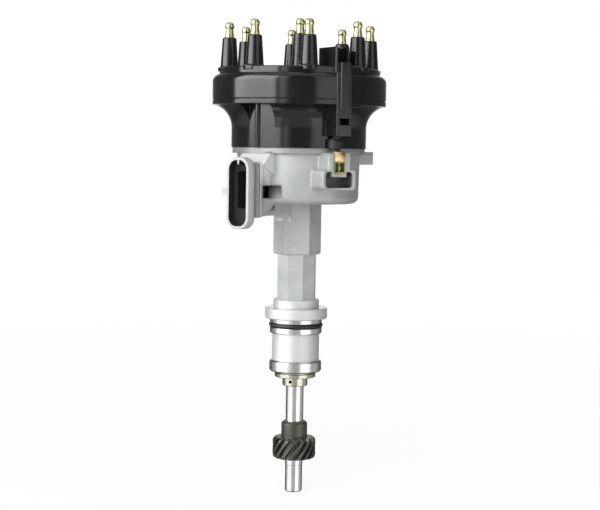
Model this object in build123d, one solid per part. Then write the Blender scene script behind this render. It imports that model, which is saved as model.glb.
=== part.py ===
"""Ignition distributor for a V8 engine: closed-bowl housing, eight-tower cap, rotor, shutter
wheel, sensor, connector and geared shaft, each as its own solid.

Frame: millimetres, +Z up along the shaft, origin at the centre of the hold-down flange's seating
face, -Y towards the mouth of the electrical connector. A plan angle is measured from -Y towards +X.
"""

from build123d import *
import math
import os

# ---------------------------------------------------------------- fits and clearances
FIT = 0.02                    # gap per side between pieces that are pressed or screwed together
RUNNING_FIT = 0.03            # radial gap of the shaft in its bushes
EASY_FIT = 0.15               # gap per side where a piece drops into a pocket

# ---------------------------------------------------------------- shaft line
SHAFT_D = 13.49
SHAFT_BELOW_FLANGE = 133.5    # seating face down to the tip of the shaft
SHAFT_TIP_CHAMFER = 0.8
HEX_DRIVE_AF = 7.94           # socket for the oil-pump drive rod
HEX_DRIVE_DEPTH = 14.0
TAIL_D = 13.1                 # journal below the gear
TAIL_TOP_Z = -113.0
TAIL_STEP_CHAMFER = 0.3
HEAD_D = 11.2                 # upper shaft, above the upper bush
ROTOR_SEAT_D = 9.6
ROTOR_SEAT_FLAT = 1.4         # depth of the key flat at the top of the shaft
ROTOR_SEAT_L = 19.0

# ---------------------------------------------------------------- drive gear
GEAR_TEETH = 16
GEAR_OD = 32.7
GEAR_TOOTH_H = 3.45
GEAR_FACE_W = 16.0
GEAR_TOP_Z = -91.4
GEAR_HELIX = 35.0
GEAR_END_ROUND = 2.6
GEAR_HUB_D = 19.8
GEAR_HUB_L = 12.3
GEAR_HUB_CHAMFER = 1.6
GEAR_PIN_D = 4.8
GEAR_PIN_BELOW_HUB_TOP = 6.2
GEAR_PIN_ANGLE = 120.0
GEAR_PIN_WALL = 0.9

# ---------------------------------------------------------------- pinned collar and washer
COLLAR_D = 19.2
COLLAR_L = 6.7
COLLAR_CHAMFER = 0.5
COLLAR_PIN_D = 2.6
COLLAR_PIN_WALL = 0.5
COLLAR_PIN_ABOVE_BOTTOM = 3.4
COLLAR_PIN_ANGLE = 16.4
WASHER_D = 31.1
WASHER_T = 3.1
END_GAP = 0.12                # running gap over the washer

# ---------------------------------------------------------------- housing, pilot side
LAND_D = 39.6
UPPER_LAND_L = 3.15
RING_GROOVE_W = 3.7
RING_SECTION_D = 3.5
RING_OD = 41.2
LOWER_LAND_L = 4.35
BARREL_D = 35.8
BARREL_L = 20.5
BEAD_L = 8.8
BEAD_CHAMFER = 1.1
LAND_CHAMFER = 0.6
TOE_D = 29.0
TOE_L = 1.2

# ---------------------------------------------------------------- housing, neck
FLANGE_D = 47.3
FLANGE_T = 8.3
FLANGE_CHAMFER = 0.8
COLLAR_SEAT_D = 34.7
COLLAR_SEAT_H = 6.4
COLLAR_SEAT_CHAMFER = 1.0
LOWER_NECK_CORNER_R = 15.2
LOWER_NECK_H = 33.9
LOWER_NECK_FACE_ANGLE = 33.0
UPPER_NECK_CORNER_R = 18.0
UPPER_NECK_H = 39.1
UPPER_NECK_FACE_ANGLE = 38.0
UPPER_NECK_CHAMFER = 1.2
SHAFT_TUNNEL_D = 22.0         # clearance tunnel between the two bushes

# ---------------------------------------------------------------- bushes
BUSH_WALL = 2.2
LOWER_BUSH_L = 26.0
UPPER_BUSH_L = 24.0
UPPER_BUSH_PROUD = 3.0        # the upper bush stands above its boss
BUSH_BOSS_WALL = 3.2

# ---------------------------------------------------------------- housing, bowl
BOWL_R = 46.3
BOWL_TAPER = 0.7
BOWL_H = 36.8
BOWL_CORNER_R = 5.0
BOWL_WALL = 3.3
BOWL_FLOOR = 4.0
RIM_R = 49.9
RIM_H = 4.3
RIM_CHAMFER = 0.4
SPIGOT_WALL = 2.3             # rim metal outside the cap's locating spigot
SPIGOT_DEPTH = 2.4
BOSS_H = 8.0                  # sensor-plate bosses above the bowl floor
BOSS_D = 9.0
BOSS_INSET = 8.8              # bowl wall in to the sensor-plate screws
BOSS_ANGLES = (62.0, 182.0, 302.0)
BOWL_LUG_ANGLE = 135.0
BOWL_LUG_R = 56.4
BOWL_LUG_W = 8.5
BOWL_LUG_H = 9.7
BOWL_LUG_BELOW_RIM = 2.2
VENT_ANGLE = 12.3
VENT_D = 3.4
VENT_DEPTH = 1.8

# ---------------------------------------------------------------- cap-screw pockets of the bowl
SCREW_ANGLES = (67.5, 247.5)
SCREW_R = 56.5                # plan radius of the hold-down screws
POCKET_FACE_R = 60.3
POCKET_W = 27.6
POCKET_H = 14.4
POCKET_BELOW_RIM = 11.1
POCKET_WALL_SIDE = 2.6
POCKET_WALL_BOTTOM = 1.4
POCKET_CORNER_R = 2.6
POCKET_BACK_R = 48.6
SADDLE_W = 17.8
SADDLE_TOP_BELOW_RIM_TOP = 3.2
TONGUE_W = 11.8
TONGUE_BOTTOM_Z = 108.3
TONGUE_BACK_R = 53.4
CLIP_W = 8.7
CLIP_T = 1.1
CLIP_LIP_Z = 110.4
CLIP_REAR_LEG = 5.0
SCREW_TUNNEL_D = 5.8

# ---------------------------------------------------------------- connector pad of the bowl
PAD_W = 24.0
PAD_BOTTOM_Z = 78.0
PAD_TOP_Z = 118.0
PAD_FACE_Y = 59.8
PAD_PLATE_T = 3.2
PAD_CORNER_R = 3.0
BRIDGE_W = 22.4
BRIDGE_SHOULDER_W = 27.0
BRIDGE_STEP = 4.0             # foot of the bridge behind the pad
SHOULDER_RISE = 11.0
WEB_W = 13.0                  # narrow web below the bowl
WEB_FILLET_R = 5.0
WEB_BOTTOM_Z = 79.0
PAD_WINDOW_W = 13.0
PAD_WINDOW_H = 31.0
PAD_WINDOW_R = 3.0
SIDE_POCKET_TOP_Z = 101.3
SIDE_POCKET_H = 9.3
SIDE_POCKET_REACH = 17.5
SIDE_POCKET_DEPTH = 5.5
POCKET_SKIN = 1.8             # bowl wall left behind the side pocket
SIDE_RIDGE_H = 6.0
SIDE_RIDGE_R = 1.1

# ---------------------------------------------------------------- connector
SHROUD_W = 20.4
SHROUD_H = 51.6
SHROUD_WALL = 2.0
SHROUD_CENTRE_Z = 95.7
SHROUD_DEPTH = 7.3
SHROUD_BACK = 1.3
SHROUD_EDGE_R = 0.5
SHROUD_LIP_R = 8.6
PLATE_T = 3.0
GASKET_T = 0.6
PLUG_WALL = 1.7
PLUG_REACH = 14.6             # depth of the plug that passes through the pad
PLUG_FLOOR = 2.0
LATCH_W = 5.0
LATCH_REACH = 5.0
LATCH_H = 5.0
KEY_W = 2.6
KEY_H = 3.2
BLADE_W = 2.4
BLADE_T = 0.8
BLADE_PITCH = 8.0
BLADE_COUNT = 3
BLADE_REACH = 8.5
BLADE_TAIL = 5.0

# ---------------------------------------------------------------- sensor inside the bowl
STATOR_PLATE_T = 2.0
STATOR_PLATE_GAP = 3.8        # bowl wall to the edge of the plate
STATOR_PLATE_BORE_D = 30.0
STATOR_SCREW_D = 3.6
STATOR_SCREW_HEAD_D = 6.4
STATOR_SCREW_HEAD_H = 2.2
STATOR_SCREW_L = 7.5
HALL_W = 15.0
HALL_INNER_R = 18.0
HALL_GAP_R = 25.0
HALL_H = 15.5
MAGNET_T = 6.5
MAGNET_W = 17.0
MAGNET_H = 15.5
VANE_GAP = 1.4                # air gap on each side of the vane

# ---------------------------------------------------------------- shutter wheel
VANE_T = 1.2
VANE_DISC_T = 2.0
VANE_SKIRT_H = 17.0
VANE_WINDOWS = 8
VANE_WINDOW_H = 11.0
VANE_WINDOW_ARC = 24.0
VANE_HUB_D = 17.0
VANE_HUB_L = 8.0
VANE_CLEAR_Z = 4.0            # vane edge above the sensor plate
RETAINER_T = 1.0
RETAINER_D = 16.5
RETAINER_GROOVE = 0.8
UPPER_WASHER_T = 1.0
UPPER_WASHER_D = 18.0

# ---------------------------------------------------------------- rotor
ROTOR_HUB_D = 17.5
ROTOR_WALL_TOP = 4.0
ROTOR_DISC_R = 37.0
ROTOR_DISC_T = 4.0
ROTOR_SKIRT_H = 6.0
ROTOR_SKIRT_T = 2.6
ROTOR_GAP = 1.0               # spark gap from the blade to the cap electrodes
ROTOR_BLADE_W = 9.0
ROTOR_BLADE_T = 1.6
BLADE_DROP = 15.3              # cap ceiling down to the blade
ROTOR_ARM_W = 15.0
ROTOR_RIM_CLEAR = 2.0
SPRING_T = 0.5
SPRING_W = 5.0
SPRING_FOOT_END = 9.0
SPRING_BEND = 3.4
SPRING_PAD = 6.0
BUTTON_D = 6.2
BUTTON_L = 10.0
BUTTON_GAP = 0.3
BUTTON_PROUD = 3.5

# ---------------------------------------------------------------- cap shell
SKIRT_R = 50.8
SKIRT_H = 14.7
FLARE_R = 17.0
BAND_R = 65.3
BAND_LIP_H = 3.6
BAND_GROOVE_W = 0.9
BAND_GROOVE_DEPTH = 0.6
BAND_H = 16.8
SHOULDER_H = 5.6
PLATE_INSET = 5.0             # band in to the edge of the tower plate
LEDGE_INSET = 3.7
PLATE_RISE = 4.7
PLATE_CROWN = 1.0
PLATE_EDGE = 0.7
CAP_WALL = 3.0
CAP_SPIGOT_H = 5.0
RECESS_FROM = -7.0
RECESS_TO = 18.0
RIB_ANGLE = 2.0
RIB_R = 2.25

# ---------------------------------------------------------------- towers and terminals
TOWER_COUNT = 8
TOWER_INSET = 12.2            # band in to the tower axes
TOWER_TOP_Z = 210.0
TOWER_TOP_D = 10.4
TOWER_BASE_D = 13.0
TOWER_FILLET = 2.0
TOWER_EDGE = 0.8
COIL_TOWER_RISE = 4.5
TERMINAL_H = 11.6
TERMINAL_HEAD_D = 6.8
TERMINAL_WAIST_D = 5.7
TERMINAL_BASE_D = 6.5
TERMINAL_TIP_D = 2.6
TERMINAL_SHANK_D = 4.6
ELECTRODE_W = 6.0
ELECTRODE_H = 10.0
ELECTRODE_ABOVE_BLADE = 4.0
POST_D = 9.0
COIL_POST_D = 12.0

# ---------------------------------------------------------------- cap-screw columns
COLUMN_W = 12.7
COLUMN_PROUD = 0.9            # column face outside the band
COLUMN_EDGE_R = 0.7
FOOT_BOTTOM_Z = 137.6
FOOT_FLOOR_T = 6.4
BAR_W = 8.4
BAR_PROUD = 2.7
BAR_TOP_Z = 190.0
BAR_BOTTOM_Z = 157.0
HEAD_BLOCK_W = 11.4           # radial block that carries the front driver well up between the towers
HEAD_BLOCK_TOP_Z = 201.4
HEAD_BLOCK_INSET = 2.7
HEAD_BLOCK_BACK_R = 34.0
WELL_D = 8.4
FOOT_WINDOW_W = 8.4
FOOT_WINDOW_Z = 145.6
FOOT_WINDOW_H = 4.7
SKIRT_BOSS_D = 11.0
SKIRT_BOSS_R = 54.2
SKIRT_BOSS_H = 7.2
CAP_SCREW_D = 4.8
CAP_SCREW_HEAD_D = 7.6
CAP_SCREW_HEAD_H = 4.6
CAP_SCREW_L = 31.0

# ---------------------------------------------------------------- levels that follow from the sizes
Z_SEAT = 0.0
Z_LAND1 = -UPPER_LAND_L
Z_GROOVE = Z_LAND1 - RING_GROOVE_W
Z_LAND2 = Z_GROOVE - LOWER_LAND_L
Z_BEAD_TOP = Z_LAND2 - BARREL_L
Z_BEAD = Z_BEAD_TOP - BEAD_L
Z_TOE = Z_BEAD - TOE_L
Z_COLLAR_SEAT = Z_SEAT + FLANGE_T
Z_LOWER_NECK = Z_COLLAR_SEAT + COLLAR_SEAT_H
Z_UPPER_NECK = Z_LOWER_NECK + LOWER_NECK_H
Z_BOWL = Z_UPPER_NECK + UPPER_NECK_H
Z_FLOOR = Z_BOWL + BOWL_FLOOR
Z_RIM = Z_BOWL + BOWL_H
Z_JOINT = Z_RIM + RIM_H
Z_FLARE = Z_JOINT + SKIRT_H
Z_BAND = Z_FLARE + math.sqrt(FLARE_R ** 2 - (SKIRT_R + FLARE_R - BAND_R) ** 2)
Z_SHOULDER = Z_BAND + BAND_H
Z_LEDGE = Z_SHOULDER + SHOULDER_H
Z_PLATE = Z_LEDGE + PLATE_RISE
Z_CEILING = Z_PLATE - CAP_WALL
Z_STATOR = Z_FLOOR + BOSS_H
Z_VANE_EDGE = Z_STATOR + STATOR_PLATE_T + VANE_CLEAR_Z
Z_VANE_TOP = Z_VANE_EDGE + VANE_SKIRT_H
Z_HEAD = Z_FLOOR + 2.0 + UPPER_BUSH_PROUD
Z_WASHER_TOP = Z_TOE - END_GAP
Z_COLLAR = Z_WASHER_TOP - WASHER_T - FIT
Z_HUB_TOP = GEAR_TOP_Z + GEAR_HUB_L
Z_BUTTON_TIP = Z_CEILING - 6.0 - BUTTON_PROUD
Z_BLADE = Z_CEILING - BLADE_DROP
Z_ELECTRODE = Z_BLADE - ELECTRODE_ABOVE_BLADE
R_SHAFT = SHAFT_D / 2
R_BUSH = R_SHAFT + RUNNING_FIT
PLATE_R = BAND_R - PLATE_INSET
LEDGE_R = BAND_R - LEDGE_INSET
TOWER_R = BAND_R - TOWER_INSET
COLUMN_FACE_R = BAND_R + COLUMN_PROUD
BAR_FACE_R = BAND_R + BAR_PROUD
BAR_BACK_R = SCREW_R + 1.5
HEAD_BLOCK_FACE_R = BAND_R - HEAD_BLOCK_INSET
R_SPIGOT = RIM_R - SPIGOT_WALL
R_BOWL_IN = BOWL_R - BOWL_TAPER - BOWL_WALL
R_CAP_THROAT = R_SPIGOT - 2.2
R_ELECTRODE = R_CAP_THROAT - 0.4
R_BLADE = R_ELECTRODE - ROTOR_GAP
R_BOSS_PITCH = R_BOWL_IN - BOSS_INSET
R_STATOR_PLATE = R_BOWL_IN - STATOR_PLATE_GAP
R_VANE_IN = HALL_GAP_R + VANE_GAP
R_VANE_OUT = R_VANE_IN + VANE_T
R_MAGNET = R_VANE_OUT + VANE_GAP


# ---------------------------------------------------------------- helpers
def turned(*points):
    """Revolve a closed (radius, height) outline about the shaft axis."""
    return revolve(Plane.XZ * make_face(Polyline(*points, close=True)), Axis.Z)


def turned_path(*edges):
    """Revolve a closed loop of (radius, height) edges about the shaft axis."""
    return revolve(Plane.XZ * make_face([e for e in edges]), Axis.Z)


def tube(outer_r, inner_r, z_from, z_to):
    """Ring between two heights."""
    return turned((inner_r, z_from), (outer_r, z_from), (outer_r, z_to), (inner_r, z_to))


def rod(radius, z_from, z_to):
    """Upright cylinder on the shaft axis."""
    return Pos(0, 0, (z_from + z_to) / 2) * Cylinder(radius, z_to - z_from)


def rod_at(x, y, radius, z_from, z_to):
    """Upright cylinder at a plan position."""
    return Pos(x, y, 0) * rod(radius, z_from, z_to)


def block(x_from, x_to, y_from, y_to, z_from, z_to):
    """Box between three pairs of limits."""
    centre = Pos((x_from + x_to) / 2, (y_from + y_to) / 2, (z_from + z_to) / 2)
    return centre * Box(x_to - x_from, y_to - y_from, z_to - z_from)


def at_angle(angle, shape):
    """Turn a feature modelled towards -Y to its plan angle."""
    return Rot(0, 0, angle) * shape


def facing(y_front, z_centre):
    """Plane that looks along -Y, with X to the right and Z up, y_front in front of the axis."""
    return Plane(origin=(0, -y_front, z_centre), x_dir=(1, 0, 0), z_dir=(0, -1, 0))


def panel(y_front, depth, width, height, z_centre, corner):
    """Rounded upright panel whose front lies y_front before the axis."""
    outline = RectangleRounded(width, height, corner)
    return extrude(facing(y_front, z_centre) * outline, amount=-depth)


def sector(r_from, r_to, z_from, z_to, angle_from, angle_to):
    """Ring segment between two plan angles."""
    ring = Plane.XZ * make_face(
        Polyline((r_from, z_from), (r_to, z_from), (r_to, z_to), (r_from, z_to), close=True)
    )
    part = revolve(ring, Axis.Z, angle_to - angle_from)
    return Rot(0, 0, angle_from - 90) * part


def cross_pin(radius, wall, length, z_at, angle):
    """Slotted spring pin lying across the axis."""
    pin = Cylinder(radius, length) - Cylinder(radius - wall, length)
    pin = pin - Pos(0, radius, 0) * Box(radius * 0.35, radius * 1.4, length)
    return Rot(0, 0, angle) * Pos(0, 0, z_at) * Rot(90, 0, 0) * pin


def cross_hole(radius, length, z_at, angle):
    """Cutter for a hole across the axis."""
    return Rot(0, 0, angle) * Pos(0, 0, z_at) * Rot(90, 0, 0) * Cylinder(radius, length)


# ---------------------------------------------------------------- shaft parts
def make_shaft():
    z_tip = -SHAFT_BELOW_FLANGE
    z_seat = Z_VANE_TOP + VANE_DISC_T + RETAINER_T + 1.0
    z_top = z_seat + ROTOR_SEAT_L
    r_head = HEAD_D / 2
    r_seat = ROTOR_SEAT_D / 2
    r_tail = TAIL_D / 2
    retainer_top = Z_VANE_TOP + VANE_DISC_T + RETAINER_T
    body = turned(
        (0, z_tip),
        (r_tail - SHAFT_TIP_CHAMFER, z_tip),
        (r_tail, z_tip + SHAFT_TIP_CHAMFER),
        (r_tail, TAIL_TOP_Z),
        (R_SHAFT, TAIL_TOP_Z + TAIL_STEP_CHAMFER),
        (R_SHAFT, Z_HEAD),
        (r_head, Z_HEAD),
        (r_head, retainer_top - RETAINER_T),
        (r_head - RETAINER_GROOVE, retainer_top - RETAINER_T),
        (r_head - RETAINER_GROOVE, retainer_top),
        (r_head, retainer_top),
        (r_head, z_seat),
        (r_seat, z_seat),
        (r_seat, z_top - 0.6),
        (r_seat - 0.6, z_top),
        (0, z_top),
    )
    flat = block(r_seat - ROTOR_SEAT_FLAT, r_seat + 1, -r_seat, r_seat, z_seat, z_top)
    hexagon = RegularPolygon(HEX_DRIVE_AF / 2, 6, major_radius=False)
    socket = extrude(Pos(0, 0, z_tip) * hexagon, amount=HEX_DRIVE_DEPTH)
    body = body - flat - socket
    gear_pin_z = Z_HUB_TOP - GEAR_PIN_BELOW_HUB_TOP
    body = body - cross_hole(GEAR_PIN_D / 2, SHAFT_D + 2, gear_pin_z, GEAR_PIN_ANGLE)
    pin_z = Z_COLLAR - COLLAR_L + COLLAR_PIN_ABOVE_BOTTOM
    return body - cross_hole(COLLAR_PIN_D / 2, SHAFT_D + 2, pin_z, COLLAR_PIN_ANGLE)


def gear_outline():
    """Plan outline of the toothed rim: root disc plus tapered teeth that reach past the tips."""
    r_tip = GEAR_OD / 2
    r_root = r_tip - GEAR_TOOTH_H
    pitch = 360.0 / GEAR_TEETH
    half_root = math.radians(pitch * 0.33)
    half_tip = math.radians(pitch * 0.15)
    reach = r_tip + 0.6
    foot = r_root - 0.6
    tooth = make_face(
        Polyline(
            (foot * math.cos(half_root), -foot * math.sin(half_root)),
            (reach * math.cos(half_tip), -reach * math.sin(half_tip)),
            (reach * math.cos(half_tip), reach * math.sin(half_tip)),
            (foot * math.cos(half_root), foot * math.sin(half_root)),
            close=True,
        )
    )
    return Circle(r_root) + PolarLocations(0, GEAR_TEETH) * tooth


def gear_blank():
    """Turned blank of the toothed rim, rounded at both ends."""
    r_tip = GEAR_OD / 2
    z_bottom = GEAR_TOP_Z - GEAR_FACE_W
    e = GEAR_END_ROUND
    r_flat = r_tip - e
    diag = e * math.sqrt(0.5)
    return turned_path(
        Line((0, z_bottom), (r_flat, z_bottom)),
        ThreePointArc((r_flat, z_bottom), (r_flat + diag, z_bottom + e - diag), (r_tip, z_bottom + e)),
        Line((r_tip, z_bottom + e), (r_tip, GEAR_TOP_Z - e)),
        ThreePointArc((r_tip, GEAR_TOP_Z - e), (r_flat + diag, GEAR_TOP_Z - e + diag), (r_flat, GEAR_TOP_Z)),
        Line((r_flat, GEAR_TOP_Z), (0, GEAR_TOP_Z)),
        Line((0, GEAR_TOP_Z), (0, z_bottom)),
    )


def make_drive_gear():
    """Right-hand helical gear with a plain hub above it, bored for the shaft."""
    over = 0.5
    r_pitch = (GEAR_OD - GEAR_TOOTH_H) / 2
    z_from = GEAR_TOP_Z - GEAR_FACE_W - over
    length = GEAR_FACE_W + 2 * over
    twist = math.degrees(length * math.tan(math.radians(GEAR_HELIX)) / r_pitch)
    outline = Pos(0, 0, z_from) * gear_outline()
    rim = Solid.extrude_linear_with_rotation(outline.faces()[0], (0, 0, z_from), (0, 0, length), twist)
    toothed = rim & gear_blank()
    r_hub = GEAR_HUB_D / 2
    hub = turned(
        (0, GEAR_TOP_Z - 1),
        (r_hub, GEAR_TOP_Z - 1),
        (r_hub, Z_HUB_TOP - GEAR_HUB_CHAMFER),
        (r_hub - GEAR_HUB_CHAMFER, Z_HUB_TOP),
        (0, Z_HUB_TOP),
    )
    gear = toothed + hub
    gear = gear - rod(R_SHAFT + FIT, z_from - 1, Z_HUB_TOP + 1)
    z_pin = Z_HUB_TOP - GEAR_PIN_BELOW_HUB_TOP
    return gear - cross_hole(GEAR_PIN_D / 2, GEAR_HUB_D + 2, z_pin, GEAR_PIN_ANGLE)


def make_gear_pin():
    length = GEAR_HUB_D - 1.2
    return cross_pin(
        GEAR_PIN_D / 2 - FIT, GEAR_PIN_WALL, length, Z_HUB_TOP - GEAR_PIN_BELOW_HUB_TOP, GEAR_PIN_ANGLE
    )


def make_collar():
    z_bottom = Z_COLLAR - COLLAR_L
    r = COLLAR_D / 2
    c = COLLAR_CHAMFER
    r_bore = R_SHAFT + FIT
    ring = turned(
        (r_bore, z_bottom),
        (r - c, z_bottom),
        (r, z_bottom + c),
        (r, Z_COLLAR - c),
        (r - c, Z_COLLAR),
        (r_bore, Z_COLLAR),
    )
    z_pin = z_bottom + COLLAR_PIN_ABOVE_BOTTOM
    return ring - cross_hole(COLLAR_PIN_D / 2, COLLAR_D + 2, z_pin, COLLAR_PIN_ANGLE)


def make_collar_pin():
    z_at = Z_COLLAR - COLLAR_L + COLLAR_PIN_ABOVE_BOTTOM
    return cross_pin(COLLAR_PIN_D / 2 - FIT, COLLAR_PIN_WALL, COLLAR_D - 1.6, z_at, COLLAR_PIN_ANGLE)


def make_thrust_washer():
    r = WASHER_D / 2
    r_bore = R_SHAFT + 0.1
    z_low = Z_WASHER_TOP - WASHER_T
    return turned(
        (r_bore, z_low), (r - 0.4, z_low), (r, z_low + 0.4), (r, Z_WASHER_TOP - 0.4), (r - 0.4, Z_WASHER_TOP),
        (r_bore, Z_WASHER_TOP),
    )


def make_upper_washer():
    return tube(UPPER_WASHER_D / 2, HEAD_D / 2 + FIT, Z_HEAD + 0.1, Z_HEAD + 0.1 + UPPER_WASHER_T)


def make_vane_wheel():
    r_hub = VANE_HUB_D / 2
    z_low = Z_VANE_TOP + VANE_DISC_T - VANE_HUB_L
    z_top = Z_VANE_TOP + VANE_DISC_T
    cup = turned(
        (0, z_low),
        (r_hub, z_low),
        (r_hub, Z_VANE_TOP),
        (R_VANE_IN, Z_VANE_TOP),
        (R_VANE_IN, Z_VANE_EDGE),
        (R_VANE_OUT, Z_VANE_EDGE),
        (R_VANE_OUT, z_top - 0.8),
        (R_VANE_OUT - 0.8, z_top),
        (0, z_top),
    )
    cup = cup - rod(HEAD_D / 2 + FIT, z_low - 1, z_top + 1)
    half = math.radians(VANE_WINDOW_ARC / 2)
    width = 2 * R_VANE_OUT * math.sin(half)
    half = width / 2
    z_window = Z_VANE_EDGE + VANE_WINDOW_H
    window = block(-half, half, -R_VANE_OUT - 2, -R_VANE_IN + 2.5, Z_VANE_EDGE - 1, z_window)
    windows = [at_angle(360.0 / VANE_WINDOWS * (i + 0.5), window) for i in range(VANE_WINDOWS)]
    return cup - windows


def make_retaining_ring():
    z_low = Z_VANE_TOP + VANE_DISC_T + 0.05
    ring = tube(RETAINER_D / 2, HEAD_D / 2 - RETAINER_GROOVE + FIT, z_low, z_low + RETAINER_T - 0.1)
    gap = block(-2.2, 2.2, 0, RETAINER_D, z_low - 1, z_low + 2)
    return ring - gap


def rotor_levels():
    z_low = Z_VANE_TOP + VANE_DISC_T + RETAINER_T + 1.0
    z_top = z_low + ROTOR_SEAT_L + ROTOR_WALL_TOP
    return z_low, z_top


def make_rotor():
    """Moulded rotor: hub with a keyed socket, dished disc with a hanging rim, and a raised arm."""
    z_low, z_top = rotor_levels()
    r_hub = ROTOR_HUB_D / 2
    z_disc = Z_BLADE - ROTOR_DISC_T
    dish = turned(
        (0, z_low + 0.2),
        (r_hub, z_low + 0.2),
        (r_hub + 1.4, z_disc - 5.0),
        (ROTOR_DISC_R - ROTOR_SKIRT_T - 3.0, z_disc - 1.0),
        (ROTOR_DISC_R - ROTOR_SKIRT_T, z_disc - ROTOR_SKIRT_H),
        (ROTOR_DISC_R, z_disc - ROTOR_SKIRT_H),
        (ROTOR_DISC_R, Z_BLADE - 2.0),
        (ROTOR_DISC_R - 1.2, Z_BLADE - 0.8),
        (13.0, Z_BLADE - 0.8),
        (11.0, Z_BLADE + 1.6),
        (0, Z_BLADE + 1.6),
    )
    arm = block(-ROTOR_ARM_W / 2, ROTOR_ARM_W / 2, -R_BLADE + ROTOR_RIM_CLEAR, 0, z_disc, Z_BLADE)
    r_out = R_BLADE + 4
    relief = turned((ROTOR_DISC_R, z_disc - 9), (r_out, z_disc - 9), (r_out, z_disc), (ROTOR_DISC_R, z_disc))
    body = dish + arm - relief
    r_seat = ROTOR_SEAT_D / 2 + FIT
    bore = rod(r_seat, z_low - 1, z_low + ROTOR_SEAT_L + 0.2)
    x_key = r_seat - ROTOR_SEAT_FLAT + 2 * FIT
    key = block(x_key, r_seat + 1, -r_seat, r_seat, z_low - 1, z_low + ROTOR_SEAT_L + 0.2)
    slot = block(
        -ROTOR_BLADE_W / 2 - FIT,
        ROTOR_BLADE_W / 2 + FIT,
        -R_BLADE - 1,
        6.0,
        Z_BLADE,
        Z_BLADE + ROTOR_BLADE_T + 2,
    )
    return body - (bore - key) - slot


def make_rotor_blade():
    """Brass segment from the middle of the rotor to the spark gap, with a rounded tip."""
    z_from = Z_BLADE + FIT
    strip = block(-ROTOR_BLADE_W / 2, ROTOR_BLADE_W / 2, -R_BLADE - 2, 5.0, z_from, z_from + ROTOR_BLADE_T)
    return strip & rod(R_BLADE, z_from - 1, z_from + ROTOR_BLADE_T + 1)


def make_rotor_spring():
    """Leaf spring that rises from the blade to the carbon button."""
    z_low = Z_BLADE + ROTOR_BLADE_T + 2 * FIT
    z_tip = Z_BUTTON_TIP - BUTTON_GAP
    outline = Polyline(
        (SPRING_FOOT_END, z_low),
        (SPRING_FOOT_END, z_low + SPRING_T),
        (SPRING_BEND + 1.0, z_low + SPRING_T),
        (SPRING_PAD / 2 - 1.6, z_tip),
        (-SPRING_PAD / 2, z_tip),
        (-SPRING_PAD / 2, z_tip - SPRING_T),
        (SPRING_PAD / 2 - 2.0, z_tip - SPRING_T),
        (SPRING_BEND, z_low),
        close=True,
    )
    side = Plane(origin=(SPRING_W / 2, 0, 0), x_dir=(0, -1, 0), z_dir=(-1, 0, 0))
    return extrude(side * make_face(outline), amount=SPRING_W)


# ---------------------------------------------------------------- housing
def make_o_ring():
    return Pos(0, 0, (Z_LAND1 + Z_GROOVE) / 2) * Torus((RING_OD - RING_SECTION_D) / 2, RING_SECTION_D / 2)


def pilot_and_flange():
    r_land = LAND_D / 2
    r_barrel = BARREL_D / 2
    r_groove = RING_OD / 2 - RING_SECTION_D - FIT
    r_flange = FLANGE_D / 2
    r_seat = COLLAR_SEAT_D / 2
    return turned(
        (0, Z_TOE),
        (TOE_D / 2, Z_TOE),
        (TOE_D / 2, Z_BEAD),
        (r_land - BEAD_CHAMFER, Z_BEAD),
        (r_land, Z_BEAD + BEAD_CHAMFER),
        (r_land, Z_BEAD_TOP - BEAD_CHAMFER),
        (r_land - BEAD_CHAMFER, Z_BEAD_TOP),
        (r_barrel, Z_BEAD_TOP),
        (r_barrel, Z_LAND2),
        (r_land - LAND_CHAMFER, Z_LAND2),
        (r_land, Z_LAND2 + LAND_CHAMFER),
        (r_land, Z_GROOVE),
        (r_groove, Z_GROOVE),
        (r_groove, Z_LAND1),
        (r_land, Z_LAND1),
        (r_land, Z_SEAT),
        (r_flange - FLANGE_CHAMFER, Z_SEAT),
        (r_flange, Z_SEAT + FLANGE_CHAMFER),
        (r_flange, Z_COLLAR_SEAT - FLANGE_CHAMFER),
        (r_flange - FLANGE_CHAMFER, Z_COLLAR_SEAT),
        (r_seat, Z_COLLAR_SEAT),
        (r_seat, Z_LOWER_NECK - COLLAR_SEAT_CHAMFER),
        (r_seat - COLLAR_SEAT_CHAMFER, Z_LOWER_NECK),
        (0, Z_LOWER_NECK),
    )


def neck():
    octagon = RegularPolygon(LOWER_NECK_CORNER_R, 8, rotation=LOWER_NECK_FACE_ANGLE - 90 + 22.5)
    lower = extrude(Pos(0, 0, Z_LOWER_NECK - 0.5) * octagon, amount=LOWER_NECK_H + 1.0)
    hexagon = RegularPolygon(UPPER_NECK_CORNER_R, 6, rotation=UPPER_NECK_FACE_ANGLE - 90 + 30)
    upper = extrude(Pos(0, 0, Z_UPPER_NECK) * hexagon, amount=UPPER_NECK_H + 1.0)
    upper = chamfer(upper.edges().group_by(Axis.Z)[0], UPPER_NECK_CHAMFER)
    return lower + upper


def bowl_shell():
    r_low = BOWL_R - BOWL_TAPER
    c = BOWL_CORNER_R
    diag = c * math.sqrt(0.5)
    return turned_path(
        Line((0, Z_BOWL), (r_low - c, Z_BOWL)),
        ThreePointArc((r_low - c, Z_BOWL), (r_low - c + diag, Z_BOWL + c - diag), (r_low, Z_BOWL + c)),
        Line((r_low, Z_BOWL + c), (BOWL_R, Z_RIM)),
        Line((BOWL_R, Z_RIM), (RIM_R - RIM_CHAMFER, Z_RIM)),
        Line((RIM_R - RIM_CHAMFER, Z_RIM), (RIM_R, Z_RIM + RIM_CHAMFER)),
        Line((RIM_R, Z_RIM + RIM_CHAMFER), (RIM_R, Z_JOINT)),
        Line((RIM_R, Z_JOINT), (0, Z_JOINT)),
        Line((0, Z_JOINT), (0, Z_BOWL)),
    )


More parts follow.
